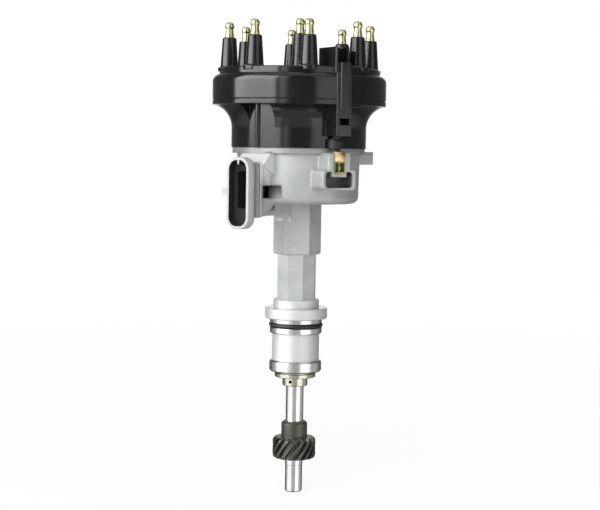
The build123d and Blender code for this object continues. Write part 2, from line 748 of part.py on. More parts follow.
def bowl_cavity():
    c = 2.5
    return turned(
        (0, Z_FLOOR),
        (R_BOWL_IN - c, Z_FLOOR),
        (R_BOWL_IN, Z_FLOOR + c),
        (R_BOWL_IN, Z_JOINT - SPIGOT_DEPTH),
        (R_SPIGOT, Z_JOINT - SPIGOT_DEPTH),
        (R_SPIGOT, Z_JOINT + 1),
        (0, Z_JOINT + 1),
    )


def connector_pad():
    """Pad, bridge, sloping shoulder and the web that carries them down to the neck."""
    plate_back = PAD_FACE_Y - PAD_PLATE_T
    z_mid = (PAD_TOP_Z + PAD_BOTTOM_Z) / 2
    pad = panel(PAD_FACE_Y, PAD_PLATE_T + 0.5, PAD_W, PAD_TOP_Z - PAD_BOTTOM_Z, z_mid, PAD_CORNER_R)
    neck_y = UPPER_NECK_CORNER_R * 0.9
    fillet_y = neck_y + WEB_FILLET_R
    diag = WEB_FILLET_R * (1 - math.sqrt(0.5))
    z_root = WEB_BOTTOM_Z - WEB_FILLET_R
    side = make_face(
        Polyline(
            (plate_back, WEB_BOTTOM_Z),
            (plate_back, PAD_TOP_Z - 1.0),
            (RIM_R - 1.2, Z_RIM + 1.5),
            (10, Z_RIM + 1.5),
            (10, Z_BOWL + 1.0),
            (BOWL_R - BOWL_CORNER_R, Z_BOWL),
            (plate_back - BRIDGE_STEP, WEB_BOTTOM_Z),
            close=True,
        )
    )
    side_plane = Plane(origin=(BRIDGE_W / 2, 0, 0), x_dir=(0, -1, 0), z_dir=(-1, 0, 0))
    bridge = extrude(side_plane * side, amount=BRIDGE_W)
    root = make_face(
        [
            Line((plate_back, WEB_BOTTOM_Z), (plate_back, Z_BOWL + 1.0)),
            Line((plate_back, Z_BOWL + 1.0), (10, Z_BOWL + 1.0)),
            Line((10, Z_BOWL + 1.0), (10, z_root)),
            Line((10, z_root), (neck_y, z_root)),
            ThreePointArc((neck_y, z_root), (neck_y + diag, WEB_BOTTOM_Z - diag), (fillet_y, WEB_BOTTOM_Z)),
            Line((fillet_y, WEB_BOTTOM_Z), (plate_back, WEB_BOTTOM_Z)),
        ]
    )
    web_plane = Plane(origin=(WEB_W / 2, 0, 0), x_dir=(0, -1, 0), z_dir=(-1, 0, 0))
    web = extrude(web_plane * root, amount=WEB_W)
    slope = make_face(
        Polyline(
            (BOWL_R - 5.0, SIDE_POCKET_TOP_Z + SHOULDER_RISE - 5.0),
            (plate_back - 6.0, SIDE_POCKET_TOP_Z + SHOULDER_RISE),
            (plate_back, PAD_TOP_Z - 1.0),
            (RIM_R - 1.2, Z_RIM + 1.5),
            (BOWL_R - 5.0, Z_RIM + 1.5),
            close=True,
        )
    )
    wide_plane = Plane(origin=(BRIDGE_SHOULDER_W / 2, 0, 0), x_dir=(0, -1, 0), z_dir=(-1, 0, 0))
    shoulder = extrude(wide_plane * slope, amount=BRIDGE_SHOULDER_W)
    return pad + bridge + web + shoulder


def pad_cuts():
    """Window for the connector plug, side pockets and plate screw holes."""
    z_mid = (PAD_TOP_Z + PAD_BOTTOM_Z) / 2
    reach = PAD_FACE_Y - R_BOWL_IN + 8
    window = panel(PAD_FACE_Y + 1, reach, PAD_WINDOW_W, PAD_WINDOW_H, z_mid, PAD_WINDOW_R)
    pocket = block(
        BRIDGE_W / 2 - SIDE_POCKET_DEPTH,
        SIDE_POCKET_REACH,
        -(PAD_FACE_Y - PAD_PLATE_T),
        -BOWL_R + 6.0,
        SIDE_POCKET_TOP_Z - SIDE_POCKET_H,
        SIDE_POCKET_TOP_Z,
    )
    skin = rod(R_BOWL_IN + POCKET_SKIN, SIDE_POCKET_TOP_Z - SIDE_POCKET_H - 1, SIDE_POCKET_TOP_Z + 1)
    pocket = pocket - skin
    return [window, pocket]


def screw_pocket():
    """Box, saddle and tongue that hold one clip nut, modelled towards -Y."""
    z_top = Z_RIM - POCKET_BELOW_RIM
    z_mid = z_top - POCKET_H / 2
    box = panel(POCKET_FACE_R, POCKET_FACE_R - BOWL_R + 6, POCKET_W, POCKET_H, z_mid, POCKET_CORNER_R)
    z_saddle = Z_JOINT - SADDLE_TOP_BELOW_RIM_TOP
    saddle = block(-SADDLE_W / 2, SADDLE_W / 2, -POCKET_FACE_R, -BOWL_R + 6, z_top - 2.0, z_saddle)
    return box + saddle


def screw_pocket_cuts():
    z_top = Z_RIM - POCKET_BELOW_RIM
    inner_h = POCKET_H - 2 * POCKET_WALL_BOTTOM
    z_mid = z_top - POCKET_H / 2
    inner_w = POCKET_W - 2 * POCKET_WALL_SIDE
    depth = POCKET_FACE_R + 1 - POCKET_BACK_R
    cavity = panel(POCKET_FACE_R + 1, depth, inner_w, inner_h, z_mid, POCKET_CORNER_R)
    tongue = block(-TONGUE_W / 2, TONGUE_W / 2, -POCKET_FACE_R, -TONGUE_BACK_R, TONGUE_BOTTOM_Z, z_top + 1)
    cavity = cavity - tongue
    half = CLIP_W / 2 + EASY_FIT
    recess_back = POCKET_FACE_R - CLIP_T - EASY_FIT
    recess = block(-half, half, -POCKET_FACE_R - 1, -recess_back, CLIP_LIP_Z, Z_JOINT)
    slot_back = TONGUE_BACK_R - CLIP_T - EASY_FIT
    z_saddle = Z_JOINT - SADDLE_TOP_BELOW_RIM_TOP
    slot = block(
        -half,
        half,
        -TONGUE_BACK_R,
        -slot_back + EASY_FIT,
        z_saddle - CLIP_REAR_LEG - EASY_FIT,
        Z_JOINT,
    )
    tunnel = rod_at(0, -SCREW_R, SCREW_TUNNEL_D / 2, TONGUE_BOTTOM_Z - 1, Z_JOINT)
    return [cavity, recess, slot, tunnel]


def make_housing():
    body = pilot_and_flange() + neck() + bowl_shell() + connector_pad()
    lug_top = Z_RIM - BOWL_LUG_BELOW_RIM + RIM_H
    lug = block(-BOWL_LUG_W / 2, BOWL_LUG_W / 2, -BOWL_LUG_R, -BOWL_R + 4, lug_top - BOWL_LUG_H, lug_top)
    body = body + at_angle(BOWL_LUG_ANGLE, lug)
    pocket = screw_pocket()
    body = body + [at_angle(a, pocket) for a in SCREW_ANGLES]
    z_ridge = SIDE_POCKET_TOP_Z + SIDE_RIDGE_H
    ridge = rod_at(BRIDGE_W / 2, -(BOWL_R + 2.6), SIDE_RIDGE_R, SIDE_POCKET_TOP_Z, z_ridge)
    body = body + ridge
    body = body - bowl_cavity()
    r_boss = R_BUSH + BUSH_WALL + BUSH_BOSS_WALL
    body = body + rod(r_boss, Z_FLOOR - 1, Z_HEAD - UPPER_BUSH_PROUD)
    boss = rod_at(0, -R_BOSS_PITCH, BOSS_D / 2, Z_FLOOR - 1, Z_STATOR)
    body = body + [at_angle(a, boss) for a in BOSS_ANGLES]
    body = body - pad_cuts()
    cuts = screw_pocket_cuts()
    for angle in SCREW_ANGLES:
        body = body - [at_angle(angle, cut) for cut in cuts]
    screw_hole = rod_at(0, -R_BOSS_PITCH, STATOR_SCREW_D / 2, Z_STATOR - STATOR_SCREW_L, Z_STATOR + 1)
    body = body - [at_angle(a, screw_hole) for a in BOSS_ANGLES]
    r_seat = R_BUSH + BUSH_WALL + FIT
    body = body - rod(r_seat, Z_TOE - 1, Z_TOE + LOWER_BUSH_L)
    body = body - rod(SHAFT_TUNNEL_D / 2, Z_TOE + LOWER_BUSH_L, Z_HEAD - UPPER_BUSH_L)
    body = body - rod(r_seat, Z_HEAD - UPPER_BUSH_L - 1, Z_HEAD + 1)
    vent_place = Pos(0, -(BOWL_R - VENT_DEPTH / 2), Z_RIM - VENT_D * 0.45) * Rot(90, 0, 0)
    vent = vent_place * Cylinder(VENT_D / 2, VENT_DEPTH + 2)
    return body - at_angle(VENT_ANGLE, vent)


def make_lower_bush():
    return tube(R_BUSH + BUSH_WALL, R_BUSH, Z_TOE + 0.05, Z_TOE + LOWER_BUSH_L)


def make_upper_bush():
    return tube(R_BUSH + BUSH_WALL, R_BUSH, Z_HEAD - UPPER_BUSH_L, Z_HEAD - 0.05)


def make_clip_nut(angle):
    """U-shaped spring nut: a top leg with the screw hole, a long front leg and a short rear leg."""
    z_saddle = Z_JOINT - SADDLE_TOP_BELOW_RIM_TOP
    y_front = POCKET_FACE_R + FIT
    z_top = z_saddle + CLIP_T + FIT
    y_rear = TONGUE_BACK_R - CLIP_T - FIT
    top = block(-CLIP_W / 2, CLIP_W / 2, -y_front, -y_rear, z_saddle + FIT, z_top)
    front = block(-CLIP_W / 2, CLIP_W / 2, -y_front, -y_front + CLIP_T, CLIP_LIP_Z + FIT, z_top)
    rear = block(-CLIP_W / 2, CLIP_W / 2, -y_rear - CLIP_T, -y_rear, z_saddle - CLIP_REAR_LEG, z_top)
    clip = top + front + rear
    clip = fillet(clip.edges().filter_by(Axis.X).group_by(Axis.Z)[-1], CLIP_T * 0.8)
    clip = clip - rod_at(0, -SCREW_R, CAP_SCREW_D / 2 + FIT, z_saddle - 2, z_top + 2)
    return at_angle(angle, clip)


# ---------------------------------------------------------------- connector
def make_connector_body():
    """Mounting plate with an obround shroud in front and a plug that passes through the pad."""
    z_mid = (PAD_TOP_Z + PAD_BOTTOM_Z) / 2
    plate_y = PAD_FACE_Y + GASKET_T + PLATE_T
    mouth_y = plate_y + SHROUD_DEPTH
    plate = panel(plate_y, PLATE_T, PAD_W, PAD_TOP_Z - PAD_BOTTOM_Z, z_mid, PAD_CORNER_R)
    shroud = panel(mouth_y, SHROUD_DEPTH, SHROUD_W, SHROUD_H, SHROUD_CENTRE_Z, SHROUD_LIP_R)
    shroud = fillet(shroud.edges().group_by(Axis.Y)[0], SHROUD_EDGE_R)
    plug_w = PAD_WINDOW_W - 2 * EASY_FIT
    plug_h = PAD_WINDOW_H - 2 * EASY_FIT
    plug = panel(plate_y - 1, PLUG_REACH, plug_w, plug_h, z_mid, PAD_WINDOW_R)
    tab_front = mouth_y - 1.0
    latch = block(
        -SHROUD_W / 2 - LATCH_REACH,
        -SHROUD_W / 2 + 1.0,
        -tab_front,
        -tab_front + LATCH_W,
        SHROUD_CENTRE_Z + 1.2 - LATCH_H / 2,
        SHROUD_CENTRE_Z + 1.2 + LATCH_H / 2,
    )
    body = plate + shroud + plug + latch
    inner_w = SHROUD_W - 2 * SHROUD_WALL
    inner_h = SHROUD_H - 2 * SHROUD_WALL
    depth = SHROUD_DEPTH - SHROUD_BACK
    inner_r = SHROUD_LIP_R - SHROUD_WALL
    body = body - panel(mouth_y + 1, depth + 1, inner_w, inner_h, SHROUD_CENTRE_Z, inner_r)
    well_depth = PLUG_REACH + SHROUD_DEPTH + 1 - PLUG_FLOOR
    well_w = plug_w - 2 * PLUG_WALL
    well_h = plug_h - 2 * PLUG_WALL
    body = body - panel(mouth_y, well_depth, well_w, well_h, z_mid, PAD_WINDOW_R - 1)
    z_roof = SHROUD_CENTRE_Z + inner_h / 2
    profile = Polyline((-KEY_W / 2, 1.0), (KEY_W / 2, 1.0), (0.3, -KEY_H), (-0.3, -KEY_H), close=True)
    body = body + extrude(facing(mouth_y - SHROUD_EDGE_R, z_roof) * make_face(profile), amount=-depth)
    floor_y = mouth_y - well_depth
    for slot in blade_slots(floor_y):
        body = body - slot
    return body


def blade_slots(floor_y):
    z_mid = (PAD_TOP_Z + PAD_BOTTOM_Z) / 2
    first = -(BLADE_COUNT - 1) / 2
    slots = []
    for i in range(BLADE_COUNT):
        z = z_mid + (first + i) * BLADE_PITCH
        half_w = BLADE_W / 2 + FIT
        half_t = BLADE_T / 2 + FIT
        slots.append(block(-half_w, half_w, -floor_y - 1, -floor_y + PLUG_FLOOR + 1, z - half_t, z + half_t))
    return slots


def make_connector_pins():
    z_mid = (PAD_TOP_Z + PAD_BOTTOM_Z) / 2
    plate_y = PAD_FACE_Y + GASKET_T + PLATE_T
    floor_y = plate_y - 1 - PLUG_REACH + PLUG_FLOOR
    first = -(BLADE_COUNT - 1) / 2
    pins = []
    for i in range(BLADE_COUNT):
        z = z_mid + (first + i) * BLADE_PITCH
        y_back = -floor_y + PLUG_FLOOR + BLADE_TAIL
        half_t = BLADE_T / 2
        pin = block(-BLADE_W / 2, BLADE_W / 2, -floor_y - BLADE_REACH, y_back, z - half_t, z + half_t)
        tip = pin.edges().filter_by(Axis.Z).group_by(Axis.Y)[0]
        pins.append(chamfer(tip, BLADE_W * 0.25))
    return Compound(pins)


def make_connector_gasket():
    z_mid = (PAD_TOP_Z + PAD_BOTTOM_Z) / 2
    y_front = PAD_FACE_Y + GASKET_T - FIT
    sheet = panel(y_front, GASKET_T - 2 * FIT, PAD_W, PAD_TOP_Z - PAD_BOTTOM_Z, z_mid, PAD_CORNER_R)
    return sheet - panel(y_front + 1, 3, PAD_WINDOW_W, PAD_WINDOW_H, z_mid, PAD_WINDOW_R)


# ---------------------------------------------------------------- sensor
def make_stator_plate():
    z_low = Z_STATOR + FIT
    plate = tube(R_STATOR_PLATE, STATOR_PLATE_BORE_D / 2, z_low, z_low + STATOR_PLATE_T - 2 * FIT)
    hole = rod_at(0, -R_BOSS_PITCH, STATOR_SCREW_D / 2 + FIT, z_low - 1, z_low + STATOR_PLATE_T + 1)
    return plate - [at_angle(a, hole) for a in BOSS_ANGLES]


def make_stator_screws():
    z_head = Z_STATOR + STATOR_PLATE_T
    shank = rod_at(0, -R_BOSS_PITCH, STATOR_SCREW_D / 2 - FIT, z_head + 0.1 - STATOR_SCREW_L, z_head + 0.5)
    head = rod_at(0, -R_BOSS_PITCH, STATOR_SCREW_HEAD_D / 2, z_head + FIT, z_head + STATOR_SCREW_HEAD_H)
    slot = Pos(0, -R_BOSS_PITCH, z_head + STATOR_SCREW_HEAD_H) * Box(STATOR_SCREW_HEAD_D + 1, 0.9, 1.6)
    screw = shank + head - slot
    return Compound([at_angle(a, screw) for a in BOSS_ANGLES])


def make_hall_sensor():
    """Moulded pickup inside the vane skirt, with a foot on the sensor plate."""
    z_low = Z_STATOR + STATOR_PLATE_T
    z_top = z_low + HALL_H
    body = block(-HALL_W / 2, HALL_W / 2, -HALL_GAP_R - 1, -HALL_INNER_R, z_low, z_top)
    body = body & rod(HALL_GAP_R, z_low, z_top)
    return fillet(body.edges().group_by(Axis.Z)[-1], 0.8)


def make_stator_magnet():
    """Magnet block outside the vane skirt, carried by the sensor plate."""
    z_low = Z_STATOR + STATOR_PLATE_T
    ring = tube(R_MAGNET + MAGNET_T, R_MAGNET, z_low, z_low + MAGNET_H)
    body = ring & block(-MAGNET_W / 2, MAGNET_W / 2, -R_MAGNET - MAGNET_T - 1, 0, z_low, z_low + MAGNET_H)
    return fillet(body.edges().group_by(Axis.Z)[-1], 0.8)


# ---------------------------------------------------------------- cap
def cap_outer():
    arc_x = SKIRT_R + FLARE_R
    turn = math.acos((arc_x - BAND_R) / FLARE_R) / 2
    z_groove = Z_BAND + BAND_LIP_H
    half = BAND_GROOVE_W / 2
    r_mid = (BAND_R + LEDGE_R) / 2 + 0.9
    z_mid = (Z_SHOULDER + Z_LEDGE) / 2 + 0.7
    return turned_path(
        Line((0, Z_JOINT), (SKIRT_R, Z_JOINT)),
        Line((SKIRT_R, Z_JOINT), (SKIRT_R, Z_FLARE)),
        ThreePointArc(
            (SKIRT_R, Z_FLARE),
            (arc_x - FLARE_R * math.cos(math.pi / 4), Z_FLARE + FLARE_R * math.sin(math.pi / 4)),
            (BAND_R, Z_BAND),
        ),
        Line((BAND_R, Z_BAND), (BAND_R, z_groove - half)),
        Line((BAND_R, z_groove - half), (BAND_R - BAND_GROOVE_DEPTH, z_groove)),
        Line((BAND_R - BAND_GROOVE_DEPTH, z_groove), (BAND_R, z_groove + half)),
        Line((BAND_R, z_groove + half), (BAND_R, Z_SHOULDER)),
        ThreePointArc((BAND_R, Z_SHOULDER), (r_mid, z_mid), (LEDGE_R, Z_LEDGE)),
        Line((LEDGE_R, Z_LEDGE), (PLATE_R, Z_LEDGE)),
        Line((PLATE_R, Z_LEDGE), (PLATE_R, Z_PLATE - PLATE_EDGE)),
        Line((PLATE_R, Z_PLATE - PLATE_EDGE), (PLATE_R - PLATE_EDGE, Z_PLATE)),
        Line((PLATE_R - PLATE_EDGE, Z_PLATE), (0, Z_PLATE + PLATE_CROWN)),
        Line((0, Z_PLATE + PLATE_CROWN), (0, Z_JOINT)),
    )


def cap_cavity():
    """Inside of the cap, one wall in from the outside, with a pocket left for the recess."""
    w = CAP_WALL
    arc_x = SKIRT_R + FLARE_R
    r_in = FLARE_R + w
    r_top = BAND_R - w
    z_top = Z_FLARE + math.sqrt(r_in ** 2 - (arc_x - r_top) ** 2)
    body = turned_path(
        Line((0, Z_JOINT - 1), (R_CAP_THROAT, Z_JOINT - 1)),
        Line((R_CAP_THROAT, Z_JOINT - 1), (R_CAP_THROAT, Z_JOINT + CAP_SPIGOT_H)),
        Line((R_CAP_THROAT, Z_JOINT + CAP_SPIGOT_H), (SKIRT_R - w, Z_JOINT + CAP_SPIGOT_H + 2.0)),
        Line((SKIRT_R - w, Z_JOINT + CAP_SPIGOT_H + 2.0), (SKIRT_R - w, Z_FLARE)),
        ThreePointArc(
            (SKIRT_R - w, Z_FLARE),
            (arc_x - r_in * math.cos(math.pi / 5), Z_FLARE + r_in * math.sin(math.pi / 5)),
            (r_top, z_top),
        ),
        Line((r_top, z_top), (r_top, Z_SHOULDER - 1.5)),
        Line((r_top, Z_SHOULDER - 1.5), (PLATE_R - w, Z_LEDGE - 1.5)),
        Line((PLATE_R - w, Z_LEDGE - 1.5), (PLATE_R - w, Z_CEILING)),
        Line((PLATE_R - w, Z_CEILING), (0, Z_CEILING)),
        Line((0, Z_CEILING), (0, Z_JOINT - 1)),
    )
    spread = math.degrees(w / SKIRT_R)
    angles = (RECESS_FROM - spread, RECESS_TO + spread)
    return body - sector(SKIRT_R - w, BAND_R + 2, Z_FLARE - 4, Z_BAND + w, *angles)


def tower(z_top):
    """Tapered tower with a rounded foot and a soft top edge."""
    f = TOWER_FILLET
    r_base = TOWER_BASE_D / 2
    r_top = TOWER_TOP_D / 2
    z_base = Z_PLATE + PLATE_CROWN * 0.2
    diag = f * math.sqrt(0.5)
    body = turned_path(
        Line((0, Z_CEILING + 0.5), (r_base + f, Z_CEILING + 0.5)),
        Line((r_base + f, Z_CEILING + 0.5), (r_base + f, z_base)),
        ThreePointArc((r_base + f, z_base), (r_base + f - diag, z_base + f - diag), (r_base, z_base + f)),
        Line((r_base, z_base + f), (r_top, z_top - TOWER_EDGE)),
        Line((r_top, z_top - TOWER_EDGE), (r_top - TOWER_EDGE, z_top)),
        Line((r_top - TOWER_EDGE, z_top), (0, z_top)),
        Line((0, z_top), (0, Z_CEILING + 0.5)),
    )
    return body


def outer_tower():
    """One of the outer towers, its foot kept inside the ledge."""
    return (Pos(0, -TOWER_R, 0) * tower(TOWER_TOP_Z)) & rod(LEDGE_R - 0.1, Z_CEILING, TOWER_TOP_Z + 1)


def tower_angles():
    return [360.0 / TOWER_COUNT * i for i in range(TOWER_COUNT)]


def screw_column():
    """Hold-down column: block from the skirt up over the band, raised bar and skirt boss."""
    column = block(-COLUMN_W / 2, COLUMN_W / 2, -COLUMN_FACE_R, -SKIRT_R + 2, FOOT_BOTTOM_Z, Z_LEDGE)
    column = fillet(column.edges().filter_by(Axis.Z).group_by(Axis.Y)[0], COLUMN_EDGE_R)
    bar = block(-BAR_W / 2, BAR_W / 2, -BAR_FACE_R, -BAR_BACK_R, BAR_BOTTOM_Z, BAR_TOP_Z)
    bar = fillet(bar.edges().filter_by(Axis.Z).group_by(Axis.Y)[0], 0.9)
    boss = rod_at(0, -SKIRT_BOSS_R, SKIRT_BOSS_D / 2, Z_JOINT, Z_JOINT + SKIRT_BOSS_H)
    boss = fillet(boss.edges().group_by(Axis.Z)[-1], 2.4)
    return column + bar + boss


def head_block():
    """Radial block round the front driver well, rounded at its inner end."""
    r = HEAD_BLOCK_W / 2
    body = block(-r, r, -HEAD_BLOCK_FACE_R, -HEAD_BLOCK_BACK_R - r, Z_LEDGE - 1, HEAD_BLOCK_TOP_Z)
    body = fillet(body.edges().filter_by(Axis.Z).group_by(Axis.Y)[0], 1.2)
    return body + rod_at(0, -HEAD_BLOCK_BACK_R - r, r, Z_LEDGE - 1, HEAD_BLOCK_TOP_Z)


def screw_column_cuts():
    """Driver well from the top, the head window in front and the screw hole below."""
    z_floor = FOOT_BOTTOM_Z + FOOT_FLOOR_T
    well = rod_at(0, -SCREW_R, WELL_D / 2, z_floor, HEAD_BLOCK_TOP_Z + 1)
    mouth = block(-WELL_D / 2, WELL_D / 2, -BAR_FACE_R - 1, -SCREW_R, BAR_TOP_Z, HEAD_BLOCK_TOP_Z + 1)
    z_window = FOOT_WINDOW_Z + FOOT_WINDOW_H
    window = block(
        -FOOT_WINDOW_W / 2, FOOT_WINDOW_W / 2, -BAR_FACE_R - 1, -SCREW_R, FOOT_WINDOW_Z, z_window
    )
    hole = rod_at(0, -SCREW_R, CAP_SCREW_D / 2 + EASY_FIT, Z_JOINT - 1, z_floor + 1)
    return [well, mouth, window, hole]


def well_lining():
    """Plastic left round the driver well where it passes the inside of the cap."""
    z_floor = FOOT_BOTTOM_Z
    lining = rod_at(0, -SCREW_R, WELL_D / 2 + 2.2, z_floor, Z_CEILING + 1)
    return lining


def make_cap():
    body = cap_outer()
    cavity = cap_cavity()
    lining = well_lining()
    for angle in SCREW_ANGLES:
        cavity = cavity - at_angle(angle, lining)
    column = screw_column()
    body = body + [at_angle(a, column) for a in SCREW_ANGLES]
    body = body + at_angle(SCREW_ANGLES[0], head_block())
    spark_tower = outer_tower()
    body = body + [at_angle(a, spark_tower) for a in tower_angles()]
    body = body + tower(TOWER_TOP_Z + COIL_TOWER_RISE)
    body = body - cavity
    spigot = tube(R_SPIGOT - FIT * 3, R_CAP_THROAT, Z_JOINT - SPIGOT_DEPTH + 0.1, Z_JOINT + 1)
    body = body + spigot
    post = rod_at(0, -TOWER_R, POST_D / 2, Z_ELECTRODE + ELECTRODE_H + FIT, Z_CEILING + 1)
    body = body + [at_angle(a, post) for a in tower_angles()]
    body = body + rod(COIL_POST_D / 2, Z_BUTTON_TIP + BUTTON_PROUD, Z_CEILING + 1)
    body = body - sector(SKIRT_R, BAND_R + 3, Z_FLARE - 1, Z_BAND, RECESS_FROM, RECESS_TO)
    rib = rod_at(0, -SKIRT_R, RIB_R, Z_JOINT, Z_BAND + 0.5)
    rib = rib - rod(SKIRT_R - CAP_WALL * 0.5, Z_JOINT - 1, Z_BAND + 2)
    body = body + at_angle(RIB_ANGLE, rib)
    cuts = screw_column_cuts()
    for angle in SCREW_ANGLES:
        body = body - [at_angle(angle, cut) for cut in cuts]
    bore = rod_at(0, -TOWER_R, TERMINAL_SHANK_D / 2 + FIT, Z_ELECTRODE, TOWER_TOP_Z + 1)
    body = body - [at_angle(a, bore) for a in tower_angles()]
    z_button = Z_BUTTON_TIP + BUTTON_L
    body = body - rod(BUTTON_D / 2 + FIT, Z_BUTTON_TIP - 1, z_button)
    return body - rod(TERMINAL_SHANK_D / 2 + FIT, z_button - 1, TOWER_TOP_Z + COIL_TOWER_RISE + 1)


def terminal_head(z_seat):
    """Ball-ended male terminal: short collar, slight waist and a rounded head."""
    r_base = TERMINAL_BASE_D / 2
    r_waist = TERMINAL_WAIST_D / 2
    r_head = TERMINAL_HEAD_D / 2
    z_tip = z_seat + TERMINAL_H
    z_collar = z_seat + TERMINAL_H * 0.16
    z_waist = z_seat + TERMINAL_H * 0.36
    z_head = z_tip - r_head
    drop = math.sqrt(r_head ** 2 - r_waist ** 2)
    diag = r_head * math.sqrt(0.5)
    flat = TERMINAL_TIP_D / 2
    z_flat = z_head + math.sqrt(r_head ** 2 - flat ** 2)
    return turned_path(
        Line((0, z_seat), (r_base, z_seat)),
        Line((r_base, z_seat), (r_base, z_collar)),
        Line((r_base, z_collar), (r_waist, z_waist)),
        Line((r_waist, z_waist), (r_waist, z_head - drop)),
        ThreePointArc((r_waist, z_head - drop), (r_head, z_head), (diag, z_head + diag)),
        ThreePointArc((diag, z_head + diag), (r_head * 0.5, z_head + r_head * 0.866), (flat, z_flat)),
        Line((flat, z_flat), (0, z_flat)),
        Line((0, z_flat), (0, z_seat)),
    )


def make_terminal(angle):
    """Tower terminal: head outside, shank through the tower, electrode foot inside the cap."""
    z_seat = TOWER_TOP_Z + FIT
    head = Pos(0, -TOWER_R, 0) * terminal_head(z_seat)
    shank = rod_at(0, -TOWER_R, TERMINAL_SHANK_D / 2, Z_ELECTRODE + 1, z_seat + 1)
    half = ELECTRODE_W / 2
    z_top = Z_ELECTRODE + ELECTRODE_H
    foot = block(-half, half, -TOWER_R - TERMINAL_SHANK_D / 2, -R_ELECTRODE + 1, Z_ELECTRODE, z_top)
    foot = foot - rod(R_ELECTRODE, Z_ELECTRODE - 1, z_top + 1)
    return at_angle(angle, head + shank + foot)


def make_coil_terminal():
    z_seat = TOWER_TOP_Z + COIL_TOWER_RISE + FIT
    z_low = Z_BUTTON_TIP + BUTTON_L + FIT
    return terminal_head(z_seat) + rod(TERMINAL_SHANK_D / 2, z_low, z_seat + 1)


def make_carbon_button():
    z_top = Z_BUTTON_TIP + BUTTON_L
    r = BUTTON_D / 2
    return turned(
        (0, Z_BUTTON_TIP), (r - 1.2, Z_BUTTON_TIP), (r, Z_BUTTON_TIP + 1.2), (r, z_top), (0, z_top)
    )


def make_cap_screws():
    """Two hold-down screws with hexagon washer heads."""
    z_seat = FOOT_BOTTOM_Z + FOOT_FLOOR_T + FIT
    washer = rod(CAP_SCREW_HEAD_D / 2, z_seat, z_seat + 1.0)
    hexagon = RegularPolygon(CAP_SCREW_HEAD_D / 2 - 0.3, 6)
    head = extrude(Pos(0, 0, z_seat) * hexagon, amount=CAP_SCREW_HEAD_H)
    tip = z_seat - CAP_SCREW_L
    r = CAP_SCREW_D / 2
    shank = turned((0, tip), (r - 1.2, tip), (r, tip + 1.6), (r, z_seat + 0.5), (0, z_seat + 0.5))
    screw = Pos(0, -SCREW_R, 0) * (washer + head + shank)
    return Compound([at_angle(a, screw) for a in SCREW_ANGLES])


# ---------------------------------------------------------------- all nodes
def all_nodes():
    nodes = {
        "housing": make_housing(),
        "lower_bush": make_lower_bush(),
        "upper_bush": make_upper_bush(),
        "o_ring": make_o_ring(),
        "clip_nut_front": make_clip_nut(SCREW_ANGLES[0]),
        "clip_nut_rear": make_clip_nut(SCREW_ANGLES[1]),
        "stator_plate": make_stator_plate(),
        "stator_screws": make_stator_screws(),
        "hall_sensor": make_hall_sensor(),
        "stator_magnet": make_stator_magnet(),
        "connector_body": make_connector_body(),
        "connector_gasket": make_connector_gasket(),
        "connector_pins": make_connector_pins(),
        "cap": make_cap(),
        "cap_screws": make_cap_screws(),
        "coil_terminal": make_coil_terminal(),
        "carbon_button": make_carbon_button(),
        "shaft": make_shaft(),
        "upper_washer": make_upper_washer(),
        "vane_wheel": make_vane_wheel(),
        "retaining_ring": make_retaining_ring(),
        "rotor": make_rotor(),
        "rotor_blade": make_rotor_blade(),
        "rotor_spring": make_rotor_spring(),
        "thrust_washer": make_thrust_washer(),
        "collar": make_collar(),
        "collar_pin": make_collar_pin(),
        "drive_gear": make_drive_gear(),
        "gear_pin": make_gear_pin(),
    }
    for number, angle in enumerate(tower_angles(), start=1):
        nodes["terminal_" + str(number)] = make_terminal(angle)
    return nodes


os.makedirs("parts", exist_ok=True)
for name, shape in all_nodes().items():
    export_step(shape, "parts/" + name + ".step")
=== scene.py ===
"""Dresses the ignition distributor: finishes for the solids, finer formed pieces, studio and camera."""

import logging
import math
from dataclasses import dataclass, replace
from enum import Enum
from functools import partial, reduce
from typing import Dict, List, Optional, Sequence, Tuple, Union

import bmesh
import bpy
from mathutils import Matrix, Vector


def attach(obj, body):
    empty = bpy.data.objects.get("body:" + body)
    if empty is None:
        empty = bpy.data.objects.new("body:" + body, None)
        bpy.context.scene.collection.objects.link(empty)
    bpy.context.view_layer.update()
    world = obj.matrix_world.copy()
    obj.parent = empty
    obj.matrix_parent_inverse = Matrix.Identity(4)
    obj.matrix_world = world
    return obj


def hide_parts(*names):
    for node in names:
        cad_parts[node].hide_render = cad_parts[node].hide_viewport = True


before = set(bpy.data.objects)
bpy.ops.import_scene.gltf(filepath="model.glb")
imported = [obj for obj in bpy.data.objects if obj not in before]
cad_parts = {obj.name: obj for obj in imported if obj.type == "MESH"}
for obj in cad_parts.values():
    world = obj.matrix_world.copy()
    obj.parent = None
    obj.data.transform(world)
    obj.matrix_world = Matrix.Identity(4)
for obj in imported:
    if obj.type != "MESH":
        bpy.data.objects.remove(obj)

LOG = logging.getLogger("distributor")
MM = 0.001  # one millimetre in metres
WELD = 0.000001  # corners nearer than this many metres become one
SCREW_ANGLES = (67.5, 247.5)  # plan angles of the two hold-down screws
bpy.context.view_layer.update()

Colour = Tuple[float, float, float]
Range = Tuple[float, float]
Four = Tuple[float, float, float, float]
Material = bpy.types.Material
Shape = bmesh.types.BMesh
Socket = bpy.types.NodeSocket
Value = Union[Socket, float, Sequence[float]]


class Slot(Enum):
    """Material slots of the record that a new piece may take its finish from."""

    CAP = "cap"
    ZINC = "zinc"
    DARK_STEEL = "dark_steel"
    RUBBER = "rubber"


class Body(Enum):
    """Bodies of the frame that a piece may ride on."""

    HOUSING = "housing_assembly"
    SHAFT = "shaft_assembly"


def around(azimuth: float, distance: float, height: float) -> Vector:
    """Point at a plan angle in degrees, from -Y towards +X, and at a distance from the shaft axis."""
    angle = math.radians(azimuth)
    return Vector((distance * math.sin(angle), -distance * math.cos(angle), height))


